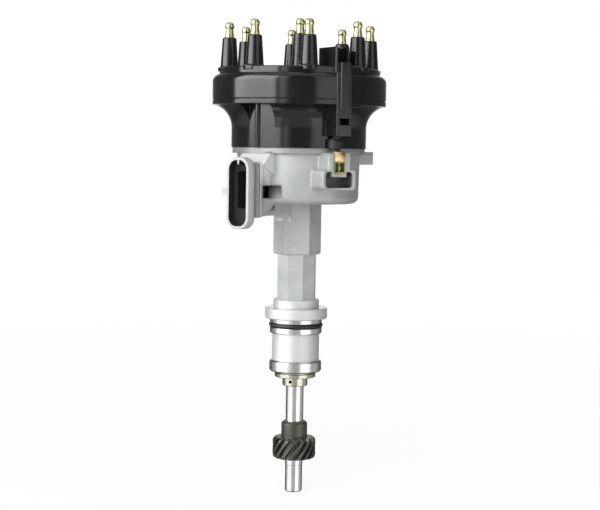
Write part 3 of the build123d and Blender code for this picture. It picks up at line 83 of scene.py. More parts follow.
def stand(name: str, data: bpy.types.ID) -> bpy.types.Object:
    """Puts a new object into the scene.

    Args:
        name: the object's name.
        data: its mesh, camera or lamp.

    Returns:
        The object.
    """
    thing = bpy.data.objects.new(name, data)
    bpy.context.scene.collection.objects.link(thing)
    return thing


# ---- node helpers
class Graph:
    """Short calls for building one node tree; places are in millimetres."""

    def __init__(self, tree: bpy.types.NodeTree) -> None:
        """Starts from the node tree of a material, a group or a world."""
        self.tree = tree

    def add(self, kind: str, inputs: Optional[dict] = None, **settings: object) -> bpy.types.Node:
        """Adds a node.

        Args:
            kind: node type without the ShaderNode prefix.
            inputs: names or numbers of sockets, with what feeds them.
            settings: node attributes.

        Returns:
            The new node.
        """
        node = self.tree.nodes.new("ShaderNode" + kind)
        for key, value in settings.items():
            setattr(node, key, value)
        for key, value in (inputs or {}).items():
            self.feed(value, node.inputs[key])
        return node

    def feed(self, value: Value, socket: Socket) -> None:
        """Links a socket, or sets a constant.

        Args:
            value: a node socket, or a plain value; a colour gets its alpha here.
            socket: the input that receives it.
        """
        if isinstance(value, bpy.types.NodeSocket):
            self.tree.links.new(value, socket)
        else:
            socket.default_value = (*value, 1.0) if socket.type == "RGBA" else value

    def math(self, operation: str, *values: Value) -> Socket:
        """Result of a math operation on sockets or numbers."""
        return self.add("Math", dict(enumerate(values)), operation=operation).outputs[0]

    def times(self, *values: Value) -> Socket:
        """Product of the values."""
        return reduce(partial(self.math, "MULTIPLY"), values)

    def plus(self, *values: Value) -> Socket:
        """Sum of the values."""
        return reduce(partial(self.math, "ADD"), values)

    def most(self, *values: Value) -> Socket:
        """Largest of the values."""
        return reduce(partial(self.math, "MAXIMUM"), values)

    def length(self, first: Value, second: Value) -> Socket:
        """Length of a vector with two parts."""
        return self.math("SQRT", self.plus(self.times(first, first), self.times(second, second)))

    def mix(self, factor: Value, first: Value, second: Value) -> Socket:
        """Mixes two numbers; a factor of 0 gives the first."""
        return self.add("Mix", {0: factor, 2: first, 3: second}, data_type="FLOAT").outputs[0]

    def blend(self, factor: Value, first: Value, second: Value) -> Socket:
        """Mixes two colours; a factor of 0 gives the first."""
        return self.add("Mix", {0: factor, 6: first, 7: second}, data_type="RGBA").outputs[2]

    def span(
        self, value: Value, low: float, high: float, to_low: float = 0.0, to_high: float = 1.0,
    ) -> Socket:
        """Maps low to to_low and high to to_high, and stays level beyond them."""
        ends = {"From Min": low, "From Max": high, "To Min": to_low, "To Max": to_high}
        return self.add("MapRange", {"Value": value, **ends}).outputs[0]

    def band(self, value: Value, low: float, high: float, soft: float = 0.08) -> Socket:
        """Mask that is 1 between two values; soft is half the width of each edge."""
        return self.times(self.span(value, low - soft, low + soft), self.span(value, high + soft, high - soft))

    def vector(self) -> Socket:
        """Object coordinates in metres."""
        return self.add("TexCoord").outputs["Object"]

    def place(self) -> List[Socket]:
        """Object coordinates x, y and z in millimetres."""
        scaled = self.add("VectorMath", {0: self.vector(), "Scale": 1.0 / MM}, operation="SCALE")
        return list(self.add("SeparateXYZ", {0: scaled.outputs[0]}).outputs)

    def radius(self) -> Socket:
        """Distance from the shaft axis."""
        return self.length(*self.place()[:2])

    def turned(self, degrees: float) -> Tuple[Socket, Socket]:
        """Distances out along a plan angle and across it, both without their sign.

        Args:
            degrees: the plan angle, from -Y towards +X.

        Returns:
            The distance out and the distance across.
        """
        x, y, _ = self.place()
        sine, cosine = math.sin(math.radians(degrees)), math.cos(math.radians(degrees))
        out = self.math("SUBTRACT", self.times(x, sine), self.times(y, cosine))
        across = self.plus(self.times(x, cosine), self.times(y, sine))
        return self.math("ABSOLUTE", out), self.math("ABSOLUTE", across)

    def group(self, name: str, **inputs: Value) -> bpy.types.NodeOutputs:
        """Outputs of a shared group with this material's own values."""
        return self.add("Group", inputs, node_tree=bpy.data.node_groups[name]).outputs

    def noise(self, vector: Value, scale: Value, detail: float, **inputs: float) -> Socket:
        """Noise between 0 and 1, of a scale and with a number of finer layers."""
        return self.add("TexNoise", {"Vector": vector, "Scale": scale, "Detail": detail, **inputs}).outputs[0]


def emptied(owner: Union[Material, bpy.types.World]) -> Graph:
    """Clears a node tree.

    Args:
        owner: the material or the world that has it.

    Returns:
        The graph of the empty tree.
    """
    owner.use_nodes = True
    owner.node_tree.nodes.clear()
    return Graph(owner.node_tree)


def new_group(
    name: str, inputs: Dict[str, float], outputs: Sequence[str],
) -> Tuple[Graph, bpy.types.NodeOutputs, bpy.types.NodeInputs]:
    """Starts a shader node group with float sockets.

    Args:
        name: the group's name.
        inputs: names and defaults of the inputs.
        outputs: names of the outputs; one called Normal is a vector.

    Returns:
        The graph, the sockets that give the inputs and the sockets that take the outputs.
    """
    tree = bpy.data.node_groups.new(name, "ShaderNodeTree")
    for label, default in inputs.items():
        socket = tree.interface.new_socket(label, in_out="INPUT", socket_type="NodeSocketFloat")
        socket.default_value = default
    for label in outputs:
        kind = "NodeSocketVector" if label == "Normal" else "NodeSocketFloat"
        tree.interface.new_socket(label, in_out="OUTPUT", socket_type=kind)
    return Graph(tree), tree.nodes.new("NodeGroupInput").outputs, tree.nodes.new("NodeGroupOutput").inputs


def build_grain() -> None:
    """Makes the grain of a casting or a moulding, with broad blotches of tone."""
    graph, given, leave = new_group("cast_grain", {"Grain": 900.0, "Blotch": 60.0}, ("Height", "Tone"))
    vector = graph.vector()
    fine = graph.noise(vector, given["Grain"], 3.0, Roughness=0.6)
    pits = graph.add("TexVoronoi", {"Vector": vector, "Scale": graph.times(given["Grain"], 0.7)})
    graph.feed(graph.plus(fine, graph.times(pits.outputs[0], 0.5)), leave["Height"])
    graph.feed(graph.span(graph.noise(vector, given["Blotch"], 4.0), 0.3, 0.7), leave["Tone"])


def build_rings() -> None:
    """Makes the fine rings that a lathe or a grinder leaves round the shaft axis."""
    graph, given, leave = new_group("turned_rings", {"Pitch": 0.25, "Break": 60.0}, ("Height", "Tone"))
    out, up = (graph.math("DIVIDE", size, given["Pitch"]) for size in (graph.radius(), graph.place()[2]))
    ring = graph.add("CombineXYZ", {"X": out, "Y": up})
    lines = graph.noise(ring.outputs[0], 1.0, 2.0, Roughness=0.7)
    patch = graph.span(graph.noise(graph.vector(), given["Break"], 2.0), 0.3, 0.7)
    graph.feed(lines, leave["Height"])
    graph.feed(graph.times(lines, patch), leave["Tone"])


def build_edges() -> None:
    """Makes rounded edges: their normal, and a chipped mask of where they are."""
    graph, given, leave = new_group("worn_edge", {"Radius": 0.0005, "Chips": 500.0}, ("Normal", "Mask"))
    soft = graph.add("Bevel", {"Radius": given["Radius"]}, samples=6).outputs[0]
    plain = graph.add("NewGeometry").outputs["Normal"]
    likeness = graph.add("VectorMath", {0: soft, 1: plain}, operation="DOT_PRODUCT").outputs["Value"]
    chips = graph.span(graph.noise(graph.vector(), given["Chips"], 3.0), 0.35, 0.6)
    graph.feed(soft, leave["Normal"])
    graph.feed(graph.times(graph.span(likeness, 0.995, 0.86), chips), leave["Mask"])


def build_handling() -> None:
    """Makes the smears and the specks that handling leaves."""
    graph, given, leave = new_group("handling", {"Smears": 45.0, "Specks": 1400.0}, ("Smear", "Speck"))
    vector = graph.vector()
    stretched = graph.add("Mapping", {"Vector": vector, "Scale": (1.0, 1.0, 0.35)})
    smear = graph.noise(stretched.outputs[0], given["Smears"], 5.0, Distortion=0.6)
    graph.feed(graph.span(smear, 0.42, 0.72), leave["Smear"])
    graph.feed(graph.span(graph.noise(vector, given["Specks"], 1.0), 0.64, 0.74), leave["Speck"])


# ---- finishes
@dataclass(frozen=True)
class Surface:
    """What feeds a finish's shader; without metal or normal, the finish has its own."""

    body: Socket
    rough: Socket
    height: Socket
    metal: Optional[Socket] = None
    normal: Optional[Socket] = None


@dataclass(frozen=True)
class Finish:
    """A moulded or plated finish: plain values, strengths of the shared effects, and its CAD nodes."""

    name: str
    colour: Colour
    dark: Colour
    rough: float
    metal: float = 0.0
    edge_radius: float = 0.4
    edge_colour: Colour = (0.5, 0.5, 0.5)
    edge_wear: float = 0.4
    bump: float = 0.1
    relief: float = 0.04
    grain: float = 900.0
    blotch: float = 55.0
    smears: float = 45.0
    smear: float = 0.08
    speck: float = 0.12
    nodes: Tuple[str, ...] = ()

    def surface(self, graph: Graph) -> Surface:
        """Makes the blotched colour, the marks of handling and the grain.

        Args:
            graph: the material's graph.

        Returns:
            The surface.
        """
        grain = graph.group("cast_grain", Grain=self.grain, Blotch=self.blotch)
        marks = graph.group("handling", Smears=self.smears)
        body = graph.blend(grain["Tone"], self.dark, self.colour)
        rough = graph.plus(
            self.rough, graph.times(marks["Smear"], self.smear), graph.times(marks["Speck"], self.speck))
        return Surface(body, rough, grain["Height"])

    def build(self) -> Material:
        """Makes the material, with rounded and worn edges.

        Returns:
            The material.
        """
        material = bpy.data.materials.new(self.name)
        graph = emptied(material)
        material.diffuse_color = (*self.colour, 1.0)
        shader = graph.add("BsdfPrincipled", {"Roughness": self.rough, "Metallic": self.metal})
        graph.add("OutputMaterial", {"Surface": shader.outputs[0]})
        surface = self.surface(graph)
        edge = graph.group("worn_edge", Radius=self.edge_radius * MM)
        worn = graph.times(edge["Mask"], self.edge_wear)
        bump = graph.add("Bump", {
            "Height": surface.height, "Normal": edge["Normal"] if surface.normal is None else surface.normal,
            "Strength": self.bump, "Distance": self.relief * MM})
        graph.feed(graph.blend(worn, surface.body, self.edge_colour), shader.inputs["Base Color"])
        graph.feed(surface.rough, shader.inputs["Roughness"])
        graph.feed(self.metal if surface.metal is None else surface.metal, shader.inputs["Metallic"])
        graph.feed(bump.outputs[0], shader.inputs["Normal"])
        return material


@dataclass(frozen=True)
class GlossMoulding(Finish):
    """Glossy moulding that is duller round the feet of the screw columns."""

    dull_below: float = 137.2
    dull_beyond: float = 51.2
    dull_fade: float = 0.4
    dullness: float = 0.5

    def surface(self, graph: Graph) -> Surface:
        """Adds the duller zone to a plain moulding.

        Args:
            graph: the material's graph.

        Returns:
            The surface.
        """
        plain = super().surface(graph)
        low = graph.span(graph.place()[2], self.dull_below, self.dull_below - self.dull_fade)
        out = graph.span(graph.radius(), self.dull_beyond, self.dull_beyond + self.dull_fade)
        return replace(plain, rough=graph.plus(plain.rough, graph.times(low, out, self.dullness)))


@dataclass(frozen=True)
class CastAlloy(Finish):
    """Cast aluminium with turned bands, each given by two heights and two radii."""

    blotch: float = 42.0
    smears: float = 38.0
    smear: float = 0.1
    smear_tone: float = 0.6
    machined: Tuple[Four, ...] = (
        (-11.3, 0.05, 18.0, 20.2), (-41.9, -31.6, 13.0, 20.4), (-0.05, 0.05, 18.0, 24.0),
        (8.25, 8.4, 17.3, 24.0), (128.7, 128.9, 46.0, 50.5), (126.0, 128.9, 46.0, 48.2),
    )
    machined_colour: Colour = (0.76, 0.76, 0.74)
    machined_rough: float = 0.16
    ring_rough: float = 0.25
    ring_pitch: float = 0.3
    satin_colour: Colour = (0.57, 0.58, 0.56)
    satin_top: Range = (15.0, 14.3)
    # painted shade: the rim under the cap is darkened to this colour, which also darkens the bowl
    rim_shade_colour: Colour = (0.27, 0.283, 0.273)
    rim_foot: Range = (124.0, 124.6)
    # painted shade: the bowl from its foot up is darkened part way towards the rim's shade colour
    bowl_foot: Range = (84.0, 92.0)
    bowl_shade: float = 0.3
    # painted highlight: the crest behind the connector is lightened towards this colour
    crest_light_colour: Colour = (0.66, 0.68, 0.66)
    crest_y: Range = (-44.0, -47.5)
    crest_z: Range = (101.0, 110.0)
    shoulder_y: Range = (-20.0, -26.0)
    shoulder_z: Range = (66.0, 123.6)
    shoulder_fade: float = 1.0
    shoulder_radius: float = 3.4
    # painted shade: the insides of the nut pockets and the side pockets are darkened towards this colour
    recess_shade_colour: Colour = (0.075, 0.080, 0.070)
    recess_shade_strength: float = 0.96
    nut_half_width: float = 11.25
    nut_z: Range = (100.3, 112.1)
    nut_out: Range = (60.0, 58.1)
    tongue_half_width: float = 5.95
    tongue_z: Range = (108.2, 200.0)
    tongue_out: Range = (53.1, 53.3)
    side_x: Range = (5.5, 17.6)
    side_y: Range = (-56.7, -40.4)
    side_z: Range = (91.95, 101.35)
    # the painted shade in the side pockets is lighter towards their floor
    side_floor: Range = (92.2, 98.5)
    side_least: float = 0.35
    side_rim: Range = (11.2, 10.0)
    side_skin: Range = (45.5, 45.0)

    def recess_shade(self, graph: Graph) -> Socket:
        """Marks where shade is painted inside the two nut pockets and the small side pockets.

        Args:
            graph: the material's graph.

        Returns:
            The mask, 1 deep inside.
        """
        x, y, z = graph.place()
        out, across = graph.turned(SCREW_ANGLES[0])
        nut, tongue = (
            graph.times(graph.band(across, -1.0, half), graph.band(z, *heights), graph.span(out, *depth))
            for half, heights, depth in (
                (self.nut_half_width, self.nut_z, self.nut_out),
                (self.tongue_half_width, self.tongue_z, self.tongue_out)))
        side = graph.times(
            graph.band(x, *self.side_x), graph.band(z, *self.side_z), graph.band(y, *self.side_y),
            graph.span(z, *self.side_floor, self.side_least, 1.0))
        deep = graph.most(graph.span(x, *self.side_rim), graph.span(graph.radius(), *self.side_skin))
        return graph.most(graph.times(nut, graph.math("SUBTRACT", 1.0, tongue)), graph.times(side, deep))

    def tones(self, graph: Graph, plain: Socket) -> Socket:
        """Tones the casting by its parts: painted shade darkening the bowl from its foot up, a painted
        highlight on the crest behind the connector, painted shade on the rim under the cap, and the satin
        pilot.

        Args:
            graph: the material's graph.
            plain: the colour before.

        Returns:
            The colour.
        """
        _, y, z = graph.place()
        crest = graph.times(graph.span(y, *self.crest_y), graph.span(z, *self.crest_z))
        # painted shade on the bowl and the rim, and a painted highlight on the crest; the satin pilot is its
        # own finish
        for mask, colour in (
            (graph.span(z, *self.bowl_foot, 0.0, self.bowl_shade), self.rim_shade_colour),
            (crest, self.crest_light_colour), (graph.span(z, *self.rim_foot), self.rim_shade_colour),
            (graph.span(z, *self.satin_top), self.satin_colour),
        ):
            plain = graph.blend(mask, plain, colour)
        return plain

    def surface(self, graph: Graph) -> Surface:
        """Makes the cast finish, its machined bands, its soft shoulder and the painted shade in its pockets.

        Args:
            graph: the material's graph.

        Returns:
            The surface.
        """
        grain = graph.group("cast_grain", Grain=self.grain, Blotch=self.blotch)
        rings = graph.group("turned_rings", Pitch=self.ring_pitch)
        smear = graph.group("handling", Smears=self.smears)["Smear"]
        _, y, z = graph.place()
        radius = graph.radius()
        shoulder = graph.times(
            graph.span(y, *self.shoulder_y), graph.band(z, *self.shoulder_z, self.shoulder_fade))
        softness = graph.span(shoulder, 0.0, 1.0, self.edge_radius * MM, self.shoulder_radius * MM)
        machined = graph.most(0.0, *(
            graph.times(graph.band(z, low, high), graph.band(radius, inner, outer))
            for low, high, inner, outer in self.machined))
        cast = graph.blend(grain["Tone"], self.dark, self.colour)
        cast = self.tones(graph, graph.blend(graph.times(smear, self.smear_tone), cast, self.dark))
        body = graph.blend(machined, cast, graph.blend(rings["Tone"], self.machined_colour, self.dark))
        rough = graph.mix(
            machined, graph.plus(self.rough, graph.times(smear, self.smear)),
            graph.plus(self.machined_rough, graph.times(rings["Tone"], self.ring_rough)))
        return Surface(
            # painted shade in the pockets
            graph.blend(graph.times(self.recess_shade(graph), self.recess_shade_strength), body, self.recess_shade_colour),
            rough, graph.mix(machined, grain["Height"], rings["Height"]),
            graph.span(machined, 0.0, 1.0, self.metal, 1.0),
            graph.group("worn_edge", Radius=softness)["Normal"])


@dataclass(frozen=True)
class TurnedMetal(Finish):
    """Bright turned or ground metal with fine rings round the axis."""

    pitch: float = 0.2
    relief: float = 0.01
    smears: float = 90.0
    smear: float = 0.06
    ring_rough: float = 0.16

    def surface(self, graph: Graph) -> Surface:
        """Makes the rings and the smears.

        Args:
            graph: the material's graph.

        Returns:
            The surface.
        """
        rings = graph.group("turned_rings", Pitch=self.pitch)
        smear = graph.group("handling", Smears=self.smears)["Smear"]
        rough = graph.plus(
            self.rough, graph.times(rings["Tone"], self.ring_rough), graph.times(smear, self.smear))
        return Surface(graph.blend(rings["Tone"], self.colour, self.dark), rough, rings["Height"])


@dataclass(frozen=True)
class ConnectorShell(Finish):
    """Grey moulded shell, not worn, whose cavity is painted black as shade."""

    edge_wear: float = 0.0
    blotch: float = 80.0
    # painted shade: the cavity's inside is painted this black, and so is the shadow line before the plate
    cavity_shade_colour: Colour = (0.012, 0.012, 0.012)
    cavity_rough: float = 0.95
    cavity_half_width: float = 8.2
    cavity_half_height: float = 23.8
    cavity_corner: float = 6.6
    cavity_edge: Range = (0.25, 0.12)
    centre_z: float = 95.7
    mouth_y: float = -70.55
    mouth_fade: float = 0.2
    key_half_width: float = 1.5
    key_low: float = 116.0
    key_front: Range = (1.0, 0.9)
    key_fade: float = 0.1
    # painted shade: the shroud's side darkens towards the plate, the plate is darkened, and a painted shadow
    # line lies in the gap before it
    plate_y: float = -63.45
    plate_fade: float = 0.25
    plate_shade_colour: Colour = (0.25, 0.265, 0.255)
    plate_shade: float = 0.85
    side_start: float = 1.5
    side_shade: float = 0.6
    gap: Range = (-0.35, 0.1)
    gap_shadow: float = 0.75

    def cavity(self, graph: Graph) -> Socket:
        """Marks the cavity's inside, where black shade is painted, without the front of its key.

        Args:
            graph: the material's graph.

        Returns:
            The mask.
        """
        x, y, z = graph.place()
        rise = graph.math("SUBTRACT", z, self.centre_z)
        reach = graph.length(*(
            graph.most(graph.math("SUBTRACT", graph.math("ABSOLUTE", size), half - self.cavity_corner), 0.0)
            for size, half in ((x, self.cavity_half_width), (rise, self.cavity_half_height))))
        key = graph.times(
            graph.band(x, -self.key_half_width, self.key_half_width),
            graph.span(z, self.key_low, self.key_low + self.key_fade),
            graph.span(y, *(self.mouth_y + step for step in self.key_front)))
        return graph.times(
            graph.span(reach, *(self.cavity_corner + step for step in self.cavity_edge)),
            graph.span(y, self.mouth_y, self.mouth_y + self.mouth_fade), graph.math("SUBTRACT", 1.0, key))

    def surface(self, graph: Graph) -> Surface:
        """Makes the shell, with painted shade darkening its side and plate, a painted shadow line in the gap
        before the plate, and painted black shade in its cavity.

        Args:
            graph: the material's graph.

        Returns:
            The surface.
        """
        grain = graph.group("cast_grain", Grain=self.grain, Blotch=self.blotch)
        y = graph.place()[1]
        inside = self.cavity(graph)
        side = graph.span(y, self.mouth_y + self.side_start, self.plate_y, 0.0, self.side_shade)
        plate = graph.span(y, self.plate_y, self.plate_y + self.plate_fade, 0.0, self.plate_shade)
        gap = graph.times(graph.band(y, *(self.plate_y + step for step in self.gap)), self.gap_shadow)
        body = graph.blend(grain["Tone"], self.dark, self.colour)
        # painted shade on the side and plate, a painted shadow line in the gap, painted shade in the cavity
        for mask, colour in (
            (side, self.plate_shade_colour), (plate, self.plate_shade_colour), (gap, self.cavity_shade_colour),
            (inside, self.cavity_shade_colour),
        ):
            body = graph.blend(mask, body, colour)
        return Surface(body, graph.span(inside, 0.0, 1.0, self.rough, self.cavity_rough), grain["Height"])


@dataclass(frozen=True)
class PassivatedLeaf(Finish):
    """Yellow zinc leaf whose pressed pocket is painted a dark olive as shade, with streaks of painted
    highlight.
    """

    blotch: float = 420.0
    tone_rough: float = 0.12
    # painted shade: the pocket is coloured this dark olive, crossed by streaks of painted highlight in the
    # next colour
    olive: Colour = (0.035, 0.045, 0.014)
    highlight_streak: Colour = (0.34, 0.33, 0.16)
    streak_scale: float = 620.0
    streak_stretch: float = 0.06
    streak_share: Range = (0.50, 0.64)
    pocket_top: Range = (119.9, 118.3)
    pocket_foot: Range = (111.3, 111.9)
    pocket_side: Range = (4.0, 3.75)

    def surface(self, graph: Graph) -> Surface:
        """Makes the leaf's yellow and its pocket, painted as shade with streaks of painted highlight.

        Args:
            graph: the material's graph.

        Returns:
            The surface.
        """
        grain = graph.group("cast_grain", Grain=self.grain, Blotch=self.blotch)
        z = graph.place()[2]
        pocket = graph.times(
            graph.span(z, *self.pocket_top), graph.span(z, *self.pocket_foot),
            graph.span(graph.turned(SCREW_ANGLES[0])[1], *self.pocket_side))
        stretched = graph.add("Mapping", {"Vector": graph.vector(), "Scale": (1.0, 1.0, self.streak_stretch)})
        lines = graph.noise(stretched.outputs[0], self.streak_scale, 2.0)
        # painted shade in the pocket, with streaks of painted highlight
        low = graph.blend(graph.span(lines, *self.streak_share), self.olive, self.highlight_streak)
        body = graph.blend(pocket, graph.blend(grain["Tone"], self.dark, self.colour), low)
        rough = graph.plus(self.rough, graph.times(grain["Tone"], self.tone_rough))
        return Surface(body, rough, grain["Height"])


class Look(Enum):
    """Every finish of the distributor."""

    CASTING = CastAlloy(
        "cast_alloy", (0.54, 0.56, 0.54), (0.375, 0.395, 0.375), 0.42, metal=0.40, edge_radius=0.5,
        edge_colour=(0.74, 0.75, 0.72), edge_wear=0.5, bump=0.6, nodes=("housing",))
    MOULDING = GlossMoulding(
        "black_moulding", (0.0080, 0.0084, 0.0082), (0.0045, 0.0048, 0.0046), 0.13, edge_radius=0.55,
        edge_colour=(0.022, 0.023, 0.022), edge_wear=0.5, bump=0.004, grain=420.0, speck=0.01, nodes=("cap",))
    SHAFT_STEEL = TurnedMetal(
        "ground_steel", (0.72, 0.72, 0.71), (0.50, 0.50, 0.50), 0.13, metal=1.0, edge_radius=0.25,
        edge_colour=(0.85, 0.85, 0.85), bump=0.15, pitch=0.12, nodes=("shaft", "upper_washer"))
    BRASS = TurnedMetal(
        "turned_brass", (0.67, 0.61, 0.36), (0.44, 0.38, 0.17), 0.23, metal=1.0, edge_radius=0.2,
        edge_colour=(0.93, 0.86, 0.60), bump=0.12, pitch=0.22,
        nodes=("connector_pins", "rotor_blade", "rotor_spring"))
    BRONZE = TurnedMetal(
        "sintered_bronze", (0.42, 0.29, 0.15), (0.26, 0.17, 0.09), 0.38, metal=0.9, edge_radius=0.2,
        edge_colour=(0.6, 0.44, 0.26), bump=0.4, pitch=0.4, nodes=("lower_bush", "upper_bush"))
    ZINC = Finish(
        "yellow_zinc", (0.62, 0.49, 0.16), (0.38, 0.36, 0.15), 0.22, metal=1.0, edge_radius=0.3,
        edge_colour=(0.85, 0.74, 0.40), bump=0.18, grain=500.0,
        nodes=("clip_nut_front", "clip_nut_rear", "stator_screws"))
    LEAF = PassivatedLeaf(
        "passivated_leaf", (0.80, 0.60, 0.34), (0.58, 0.42, 0.22), 0.24, metal=1.0, edge_radius=0.15,
        edge_colour=(0.86, 0.84, 0.74), edge_wear=0.9, bump=0.12, grain=500.0)
    STRAW_STEEL = TurnedMetal(
        "straw_steel", (0.63, 0.61, 0.51), (0.34, 0.32, 0.25), 0.09, metal=1.0, edge_radius=0.3,
        edge_colour=(0.85, 0.83, 0.76), bump=0.08, pitch=0.3, nodes=("collar", "thrust_washer"))
    PHOSPHATE = Finish(
        "phosphated_steel", (0.100, 0.103, 0.083), (0.055, 0.058, 0.045), 0.36, metal=0.7, edge_radius=0.3,
        edge_colour=(0.36, 0.37, 0.32), edge_wear=0.6, bump=0.18, grain=1200.0, nodes=("drive_gear",))
    BLACK_STEEL = Finish(
        "blackened_steel", (0.022, 0.022, 0.021), (0.012, 0.012, 0.012), 0.62, metal=0.1, edge_radius=0.3,
        edge_colour=(0.08, 0.08, 0.075), nodes=("gear_pin", "collar_pin", "retaining_ring", "cap_screws"))
    RUBBER = Finish(
        "black_rubber", (0.012, 0.012, 0.012), (0.006, 0.006, 0.006), 0.42, edge_radius=0.2,
        edge_wear=0.0, bump=0.2, grain=1500.0, nodes=("o_ring", "connector_gasket"))
    CARBON = Finish(
        "pressed_carbon", (0.03, 0.03, 0.031), (0.015, 0.015, 0.016), 0.5, metal=0.3, bump=0.3,
        nodes=("carbon_button",))
    SHELL = ConnectorShell(
        "grey_shell", (0.47, 0.49, 0.48), (0.38, 0.40, 0.39), 0.36, edge_radius=0.35, bump=0.12,
        nodes=("connector_body",))
    ROTOR = Finish(
        "rotor_moulding", (0.05, 0.05, 0.052), (0.03, 0.03, 0.032), 0.35,
        edge_colour=(0.09, 0.09, 0.09), bump=0.2, nodes=("rotor",))
    POTTING = Finish(
        "potting", (0.02, 0.02, 0.022), (0.012, 0.012, 0.014), 0.3, bump=0.15, nodes=("hall_sensor",))
    MAGNET = Finish(
        "sintered_magnet", (0.20, 0.20, 0.21), (0.12, 0.12, 0.125), 0.45, metal=0.7, bump=0.35,
        nodes=("stator_magnet",))
    PRESSED = TurnedMetal(
        "pressed_sheet", (0.55, 0.55, 0.53), (0.38, 0.38, 0.37), 0.28, metal=1.0, bump=0.2, pitch=0.5,
        nodes=("stator_plate", "vane_wheel"))


Materials = Dict[Look, Material]


def dress(materials: Materials) -> None:
    """Gives every CAD solid its finish; every terminal is brass.

    Args:
        materials: the finishes.
    """
    worn = {node: look for look in Look for node in look.value.nodes}
    for name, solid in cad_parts.items():
        material = materials[Look.BRASS if "terminal" in name else worn[name]]
        solid.data.materials.clear()
        solid.data.materials.append(material)
        LOG.info("solid %s wears %s", name, material.name)


# ---- formed pieces
@dataclass
class Assembly:
    """Steps that every sub-assembly of new pieces shares; sizes are in millimetres."""

    materials: Materials

    def place(
        self, shape: Shape, name: str, look: Look, body: Body, slot: Slot,
        stands_for: Sequence[str] = (), crease: float = 32.0,
    ) -> None:
        """Turns a finished bmesh into a piece on a body.

        Args:
            shape: the bmesh, which is freed.
            name: name of the piece.
            look: its finish.
            body: the body that it rides on.
            slot: the record's slot for the piece; not used.
            stands_for: CAD nodes that it replaces.
            crease: edges sharper than this many degrees stay sharp.
        """
        bmesh.ops.remove_doubles(shape, verts=shape.verts, dist=WELD)
        bmesh.ops.recalc_face_normals(shape, faces=shape.faces)
        mesh = bpy.data.meshes.new(name)
        shape.to_mesh(mesh)
        shape.free()
        mesh.materials.append(self.materials[look])
        mesh.shade_smooth()
        mesh.set_sharp_from_angle(angle=math.radians(crease))
        piece = stand(name, mesh)
        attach(piece, body.value)
        if stands_for:
            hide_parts(*stands_for)
        LOG.info("piece %s rides on %s", name, body.value)

    def join(self, whole: Shape, part: Shape) -> None:
        """Adds a shape to another.

        Args:
            whole: the shape that grows.
            part: the shape that is added, which is freed.
        """
        mesh = bpy.data.meshes.new("part")
        part.to_mesh(mesh)
        part.free()
        whole.from_mesh(mesh)
        bpy.data.meshes.remove(mesh)

    def turn(self, shape: Shape, degrees: float, axis: str = "Z") -> None:
        """Turns a shape about an axis through the origin, Z being the shaft's."""
        matrix = Matrix.Rotation(math.radians(degrees), 3, axis)
        bmesh.ops.rotate(shape, verts=shape.verts, cent=(0, 0, 0), matrix=matrix)

    def inset(self, shape: Shape, faces: List[bmesh.types.BMFace], steps: Sequence[Range]) -> None:
        """Insets faces again and again; each step is a width and a rise."""
        for width, rise in steps:
            bmesh.ops.inset_region(
                shape, faces=faces, thickness=width * MM, depth=rise * MM, use_even_offset=True)

    def soften(self, shape: Shape, width: float, degrees: float) -> None:
        """Rounds every edge sharper than an angle.

        Args:
            shape: the bmesh.
            width: width of the round.
            degrees: edges below this angle are left.
        """
        shape.normal_update()
        least = math.radians(degrees)
        edges = [e for e in shape.edges if len(e.link_faces) == 2 and e.calc_face_angle(0.0) > least]
        bmesh.ops.bevel(
            shape, geom=edges, offset=width * MM, offset_type="OFFSET", segments=2, profile=0.5,
            affect="EDGES", clamp_overlap=True, material=-1)

    def spin(
        self, outline: Sequence[Range], steps: int, closed: bool = True, axis: str = "Z", start: float = 0.0,
        sweep: float = math.tau,
    ) -> Shape:
        """Spins an outline about an axis through the origin.

        Args:
            outline: distance from the axis and place along it of each corner.
            steps: facets of the spin.
            closed: joins the last corner to the first.
            axis: name of the axis, Y or Z.
            start: degrees by which the outline is turned before the spin.
            sweep: angle of the spin; a full turn closes on itself.

        Returns:
            The shape.
        """
        shape = bmesh.new()
        line = Vector((0, 1, 0)) if axis == "Y" else Vector((0, 0, 1))
        corners = [shape.verts.new(Vector((out * MM, 0, 0)) + along * MM * line) for out, along in outline]
        ends = corners[1:] + corners[:1] if closed else corners[1:]
        edges = [shape.edges.new(pair) for pair in zip(corners, ends)]
        self.turn(shape, start, axis)
        bmesh.ops.spin(
            shape, geom=corners + edges, cent=(0, 0, 0), axis=line, dvec=(0, 0, 0), angle=sweep, steps=steps,
            use_merge=(sweep == math.tau), use_normal_flip=False, use_duplicate=False)
        return shape


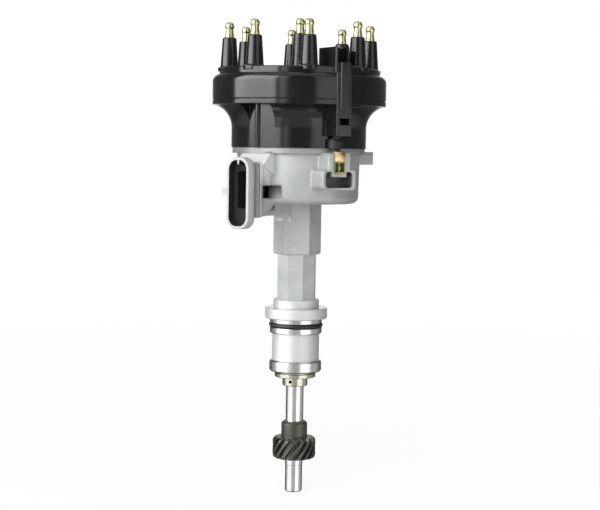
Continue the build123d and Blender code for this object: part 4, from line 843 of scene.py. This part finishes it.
@dataclass
class ClipNuts(Assembly):
    """Formed front leaves of the two spring nuts, each with its pressed pocket."""

    width: float = 8.5
    face: float = 61.0
    back: float = 60.35
    low: float = 110.7
    high: float = 126.5
    fold: float = 119.6
    cuts: Tuple[float, ...] = (119.6, 121.0, 123.0, 125.3)
    crown: float = 0.45
    lean: float = 0.25
    pocket_top: float = 118.6
    pocket_steps: Tuple[Range, ...] = ((0.45, -0.42), (2.4, 0.0), (0.25, 0.30))
    edge_round: float = 0.10

    def leaf(self) -> Shape:
        """Shapes one leaf, facing -Y.

        Returns:
            The leaf.
        """
        half = self.width / 2
        low, high = Vector((-half, -self.face, self.low)), Vector((half, -self.back, self.high))
        shape = bmesh.new()
        bmesh.ops.create_cube(shape, size=1.0)
        bmesh.ops.scale(shape, vec=(high - low) * MM, verts=shape.verts)
        bmesh.ops.translate(shape, vec=(high + low) * 0.5 * MM, verts=shape.verts)
        for cut in self.cuts:
            bmesh.ops.bisect_plane(
                shape, geom=shape.verts[:] + shape.edges[:] + shape.faces[:], plane_co=(0, 0, cut * MM),
                plane_no=(0, 0, 1))
        for vert in shape.verts:
            rise = (vert.co.z / MM - self.fold) / (self.high - self.fold)
            if rise > 0.0 and vert.co.y < -0.5 * (self.face + self.back) * MM:
                vert.co.y -= self.crown * MM * math.sin(math.pi * min(rise, 1.0)) - self.lean * MM * rise
        shape.normal_update()
        top = self.pocket_top * MM
        pocket = [face for face in shape.faces if face.normal.y < -0.9 and face.calc_center_median().z < top]
        self.inset(shape, pocket, self.pocket_steps)
        self.soften(shape, self.edge_round, 35.0)
        return shape

    def build(self) -> None:
        """Makes both leaves."""
        for number, angle in enumerate(SCREW_ANGLES, start=1):
            shape = self.leaf()
            self.turn(shape, angle)
            self.place(shape, f"clip_leaf_{number}", Look.LEAF, Body.HOUSING, Slot.ZINC)


@dataclass(frozen=True)
class Pin:
    """Sizes of one rolled pin, the height and the plan turn of its axis, and the solid that it replaces."""

    name: str
    solid: str
    radius: float
    wall: float
    length: float
    height: float
    turn: float


@dataclass
class SpringPins(Assembly):
    """Rolled spring pins with an open slot and chamfered ends."""

    pins: Tuple[Pin, ...] = (
        Pin("gear_spring_pin", "gear_pin", radius=2.38, wall=0.9, length=18.6, height=-85.3, turn=120.0),
        Pin("collar_spring_pin", "collar_pin", radius=1.28, wall=0.5, length=17.6, height=-48.24, turn=16.4),
    )
    chamfer_share: float = 0.55
    chamfer_slope: float = 1.6
    slot_edge: float = -106.0
    sweep: float = 328.0
    facets: int = 40

    def rolled(self, pin: Pin) -> Shape:
        """Rolls one pin that lies across the shaft.

        Args:
            pin: its sizes.

        Returns:
            The pin.
        """
        half = pin.length / 2
        chamfer = pin.wall * self.chamfer_share
        inner, narrow = pin.radius - pin.wall, pin.radius - chamfer
        full = half - chamfer * self.chamfer_slope
        outline = (
            (inner, -half), (narrow, -half), (pin.radius, -full), (pin.radius, full), (narrow, half),
            (inner, half))
        shape = self.spin(
            outline, self.facets, axis="Y", start=self.slot_edge, sweep=math.radians(self.sweep))
        bmesh.ops.holes_fill(shape, edges=[edge for edge in shape.edges if edge.is_boundary], sides=0)
        bmesh.ops.translate(shape, vec=(0, 0, pin.height * MM), verts=shape.verts)
        self.turn(shape, pin.turn)
        return shape

    def build(self) -> None:
        """Makes the gear's pin and the collar's pin."""
        for pin in self.pins:
            shape = self.rolled(pin)
            self.place(shape, pin.name, Look.BLACK_STEEL, Body.SHAFT, Slot.DARK_STEEL, (pin.solid,))


@dataclass
class SealRing(Assembly):
    """Round seal of the pilot with its moulding line."""

    centre: float = 18.85
    height: float = -5.0
    section: float = 1.73
    line: float = 0.05
    corners: int = 28
    facets: int = 120
    crease: float = 60.0

    def build(self) -> None:
        """Makes the seal."""
        outline = []
        for step in range(self.corners):
            turn = math.tau * step / self.corners
            radius = self.section - (self.line if step % (self.corners // 2) else 0.0)
            outline.append((self.centre + radius * math.cos(turn), self.height + radius * math.sin(turn)))
        ring = self.spin(outline, self.facets)
        self.place(ring, "pilot_seal", Look.RUBBER, Body.HOUSING, Slot.RUBBER, ("o_ring",), self.crease)


@dataclass
class CapScrews(Assembly):
    """Hold-down screws: washer, hexagon head with a dished top, and a threaded end."""

    pitch_radius: float = 56.5
    seat: float = 144.02
    tip: float = 113.05
    shank: float = 2.38
    core: float = 2.0
    point: Tuple[Range, ...] = ((0.0, 0.0), (1.2, 0.0), (2.0, 0.9))
    thread: Range = (1.1, 14.0)
    thread_pitch: float = 0.8
    thread_crest: float = 0.35
    thread_foot: float = 0.7
    runout: float = 0.5
    washer: Tuple[Range, ...] = ((3.7, 0.0), (3.8, 0.2), (3.7, 0.85), (3.2, 1.0), (0.0, 1.0))
    head_radius: float = 3.45
    head_height: float = 3.7
    head_foot: float = 0.9
    head_steps: Tuple[Range, ...] = ((0.5, 0.0), (0.35, -0.5))
    head_round: float = 0.12
    facets: int = 32

    def outline(self) -> Sequence[Range]:
        """Outline of the tip, the thread, the shank and the washer.

        Returns:
            Radius and height of each corner.
        """
        outline = [(radius, self.tip + rise) for radius, rise in self.point]
        height, end = (self.tip + rise for rise in self.thread)
        while height < end:
            crest, foot = height + self.thread_crest, height + self.thread_foot
            outline += [(self.core, height), (self.shank, crest), (self.core, foot)]
            height += self.thread_pitch
        outline += [(self.shank, height + self.runout), (self.shank, self.seat)]
        return outline + [(radius, self.seat + rise) for radius, rise in self.washer]

    def screw(self) -> Shape:
        """Shapes one screw on the axis.

        Returns:
            The screw.
        """
        shape = self.spin(self.outline(), self.facets, closed=False)
        bmesh.ops.remove_doubles(shape, verts=shape.verts, dist=WELD)
        head = bmesh.new()
        radius, middle = self.head_radius * MM, self.seat + self.head_foot + self.head_height / 2
        bmesh.ops.create_cone(
            head, cap_ends=True, cap_tris=False, segments=6, radius1=radius, radius2=radius,
            depth=self.head_height * MM)
        bmesh.ops.translate(head, vec=(0, 0, middle * MM), verts=head.verts)
        head.normal_update()
        self.inset(head, [face for face in head.faces if face.normal.z > 0.9], self.head_steps)
        self.soften(head, self.head_round, 25.0)
        self.join(shape, head)
        return shape

    def build(self) -> None:
        """Makes both screws as one piece."""
        both = bmesh.new()
        for angle in SCREW_ANGLES:
            shape = self.screw()
            bmesh.ops.translate(shape, vec=(0, -self.pitch_radius * MM, 0), verts=shape.verts)
            self.turn(shape, angle)
            self.join(both, shape)
        self.place(
            both, "hold_down_screws", Look.BLACK_STEEL, Body.HOUSING, Slot.DARK_STEEL, ("cap_screws",))


@dataclass
class CapDetails(Assembly):
    """Fine moulded details of the cap's plate: the centre tower's foot ring and the ejector marks."""

    plate: float = 187.4
    foot: Tuple[Range, ...] = (
        (11.2, -0.4), (13.6, -0.4), (13.6, 0.75), (13.2, 1.0), (11.6, 1.0), (11.2, 0.75))
    foot_facets: int = 72
    marks: Tuple[float, ...] = (22.5, 112.5, 157.5, 202.5, 292.5, 337.5)
    mark_circle: float = 31.0
    mark_middle: float = 0.62
    mark_radii: Range = (3.1, 2.95)
    mark_height: float = 0.9
    mark_facets: int = 36
    mark_round: float = 0.12

    def foot_ring(self) -> Shape:
        """Soft ring round the centre tower's foot."""
        return self.spin([(radius, self.plate + rise) for radius, rise in self.foot], self.foot_facets)

    def ejector_marks(self) -> Shape:
        """Shapes the low round marks of the mould's ejectors, at plan angles clear of the screw columns.

        Returns:
            The marks.
        """
        shape = bmesh.new()
        low, high = (radius * MM for radius in self.mark_radii)
        for angle in self.marks:
            middle = around(angle, self.mark_circle * MM, (self.plate + self.mark_middle) * MM)
            bmesh.ops.create_cone(
                shape, cap_ends=True, cap_tris=False, segments=self.mark_facets, radius1=low, radius2=high,
                depth=self.mark_height * MM, matrix=Matrix.Translation(middle))
        self.soften(shape, self.mark_round, 50.0)
        return shape

    def build(self) -> None:
        """Makes the details."""
        for shape, name in ((self.foot_ring(), "centre_foot_ring"), (self.ejector_marks(), "ejector_marks")):
            self.place(shape, name, Look.MOULDING, Body.HOUSING, Slot.CAP)


# ---- studio
@dataclass(frozen=True)
class Softbox:
    """One rectangular lamp; its turn is counted in degrees from the camera's plan angle."""

    name: str
    turn: float
    height: float
    distance: float
    width: float
    tall: float
    power: float

    def build(self, azimuth: float, target: Vector) -> None:
        """Hangs the lamp.

        Args:
            azimuth: the camera's plan angle.
            target: the point that the lamp faces.
        """
        data = bpy.data.lights.new(self.name, "AREA")
        data.shape = "RECTANGLE"
        data.size = self.width
        data.size_y = self.tall
        data.energy = self.power
        lamp = stand(self.name, data)
        lamp.visible_glossy = False
        lamp.location = around(azimuth + self.turn, self.distance, self.height)
        lamp.rotation_euler = (target - lamp.location).to_track_quat("-Z", "Y").to_euler()
        LOG.info("lamp %s", self.name)


@dataclass
class Studio:
    """Camera, floor, lamps and the pale world.

    Lengths are in metres. In the world, turns are counted in degrees from the camera's plan angle and
    heights are sines; each panel has its two turns, then its level below and above the step.
    """

    azimuth: float = 38.0
    distance: float = 1.1026
    height: float = 0.1288
    pitch: float = 4.2
    roll: float = 0.9
    yaw: float = -0.122
    focal_pixels: float = 1457.0
    image_width: float = 600.0
    sensor: float = 36.0
    floor_z: float = -0.1336
    floor_size: float = 15.0
    floor_colour: float = 0.86
    floor_near: float = 0.90
    floor_fade: Range = (100.0, 1200.0)
    room_level: float = 0.15
    low_level: float = 0.55
    behind_level: float = 0.10
    behind: Range = (105.0, 135.0)
    fill_level: float = 0.36
    horizon: Range = (-0.10, -0.03)
    backdrop: Range = (158.0, 172.0)
    backdrop_foot: Range = (-0.22, -0.12)
    backdrop_low: float = 0.1
    ceiling: Range = (0.72, 0.86)
    ceiling_level: float = 0.8
    panel_top: Range = (0.80, 0.68)
    panel_soft: float = 2.0054
    panel_step: Range = (0.015, 0.033)
    panels: Tuple[Four, ...] = (
        (-93.0, -31.0, 1.5, 6.6), (-26.0, -17.0, 0.9, 2.6), (22.0, 60.0, 0.9, 1.2), (22.0, 70.0, 1.7, 0.1),
    )
    lamps: Tuple[Softbox, ...] = (
        Softbox("left_box", turn=-50.0, height=0.40, distance=0.95, width=1.00, tall=1.05, power=8.6),
        Softbox("front_box", turn=-8.0, height=0.42, distance=1.00, width=0.60, tall=0.80, power=3.6),
        Softbox("right_box", turn=42.0, height=0.42, distance=0.95, width=0.66, tall=1.05, power=1.3),
        Softbox("front_top", turn=-12.0, height=1.15, distance=0.65, width=0.5, tall=0.5, power=3.0),
        Softbox("back_top", turn=150.0, height=0.95, distance=0.55, width=0.8, tall=0.5, power=2.5),
    )
    lamp_target: Tuple[float, float, float] = (0.0, 0.0, 0.06)

    def place_camera(self) -> None:
        """Makes the camera at the chosen place, turned down and rolled a little."""
        data = bpy.data.cameras.new("camera")
        data.sensor_width = self.sensor
        data.lens = self.focal_pixels / self.image_width * self.sensor
        data.clip_start = 0.05
        data.clip_end = 40.0
        camera = stand("camera", data)
        turn = Matrix.Rotation(math.radians(self.azimuth) + math.radians(self.yaw), 4, "Z")
        tilt = Matrix.Rotation(math.radians(90.0 - self.pitch), 4, "X")
        lean = Matrix.Rotation(math.radians(self.roll), 4, "Z")
        place = Matrix.Translation(around(self.azimuth, self.distance, self.height))
        camera.matrix_world = place @ turn @ tilt @ lean
        bpy.context.scene.camera = camera

    def lay_floor(self) -> None:
        """Lays the floor: pale to the eye with a faint shadow, grey to light, and clear to gloss."""
        mesh = bpy.data.meshes.new("floor")
        shape = bmesh.new()
        bmesh.ops.create_grid(shape, x_segments=1, y_segments=1, size=self.floor_size)
        bmesh.ops.translate(shape, vec=(0.0, 0.0, self.floor_z), verts=shape.verts)
        shape.to_mesh(mesh)
        shape.free()
        material = bpy.data.materials.new("floor_paper")
        graph = emptied(material)
        path = graph.add("LightPath").outputs
        seen = graph.most(path["Is Camera Ray"], path["Is Transmission Ray"])
        far = graph.span(graph.radius(), *self.floor_fade, self.floor_near, 1.0)
        paper = graph.add("BsdfDiffuse", {"Color": (self.floor_colour,) * 3})
        glow = graph.add("Emission", {"Color": (1.0, 1.0, 1.0), "Strength": 1.0})
        lit = graph.add("MixShader", {0: graph.times(seen, far), 1: paper.outputs[0], 2: glow.outputs[0]})
        clear = graph.add("BsdfTransparent")
        mixed = graph.add("MixShader", {0: path["Is Glossy Ray"], 1: lit.outputs[0], 2: clear.outputs[0]})
        graph.add("OutputMaterial", {"Surface": mixed.outputs[0]})
        mesh.materials.append(material)
        stand("floor", mesh)

    def room(self, graph: Graph) -> Socket:
        """Makes the room that gloss reflects: walls, panels at the sides, backdrop behind and ceiling.

        Args:
            graph: the world's graph.

        Returns:
            The level in each direction.
        """
        direction = graph.add("TexCoord").outputs["Generated"]
        ahead, aside = (
            graph.add("VectorMath", {0: direction, 1: around(angle, 1.0, 0.0)}, operation="DOT_PRODUCT")
            for angle in (self.azimuth, self.azimuth + 90.0))
        turn = graph.math(
            "DEGREES", graph.math("ARCTAN2", aside.outputs["Value"], ahead.outputs["Value"]))
        away = graph.math("ABSOLUTE", turn)
        up = graph.add("SeparateXYZ", {"Vector": direction}).outputs[2]
        low = graph.span(away, *self.behind, self.low_level, self.behind_level)
        wall = graph.span(graph.math("ABSOLUTE", up), *self.panel_top)
        panels = [
            graph.times(
                graph.band(turn, start, end, self.panel_soft), wall,
                graph.span(up, *self.panel_step, below, above))
            for start, end, below, above in self.panels]
        backdrop = graph.times(
            graph.span(away, *self.backdrop), graph.span(up, *self.backdrop_foot, self.backdrop_low, 1.0))
        return graph.most(
            graph.mix(graph.span(up, *self.horizon), low, self.room_level), *panels, backdrop,
            graph.span(up, *self.ceiling, 0.0, self.ceiling_level))

    def fill_world(self) -> None:
        """Makes the world: white to the eye, an even fill to light, and the room to gloss."""
        world = bpy.data.worlds.new("studio")
        bpy.context.scene.world = world
        graph = emptied(world)
        world.cycles.sampling_method = "NONE"
        path = graph.add("LightPath").outputs
        soft = graph.mix(path["Is Glossy Ray"], self.fill_level, self.room(graph))
        strength = graph.most(path["Is Camera Ray"], path["Is Transmission Ray"], soft)
        sky = graph.add("Background", {"Color": (1.0, 1.0, 1.0), "Strength": strength})
        graph.add("OutputWorld", {"Surface": sky.outputs[0]})

    def build(self) -> None:
        """Sets the whole studio."""
        self.place_camera()
        self.lay_floor()
        self.fill_world()
        for lamp in self.lamps:
            lamp.build(self.azimuth, Vector(self.lamp_target))
        bpy.context.scene.view_settings.view_transform = "Standard"


def main() -> None:
    """Builds the shared effects, the finishes, the pieces and the studio in order."""
    logging.basicConfig(level=logging.INFO, format="%(message)s")
    for effect in (build_grain, build_rings, build_edges, build_handling):
        effect()
    materials = {look: look.value.build() for look in Look}
    dress(materials)
    for assembly in (ClipNuts, SpringPins, SealRing, CapScrews, CapDetails):
        assembly(materials).build()
    Studio().build()


if __name__ == "__main__":
    main()
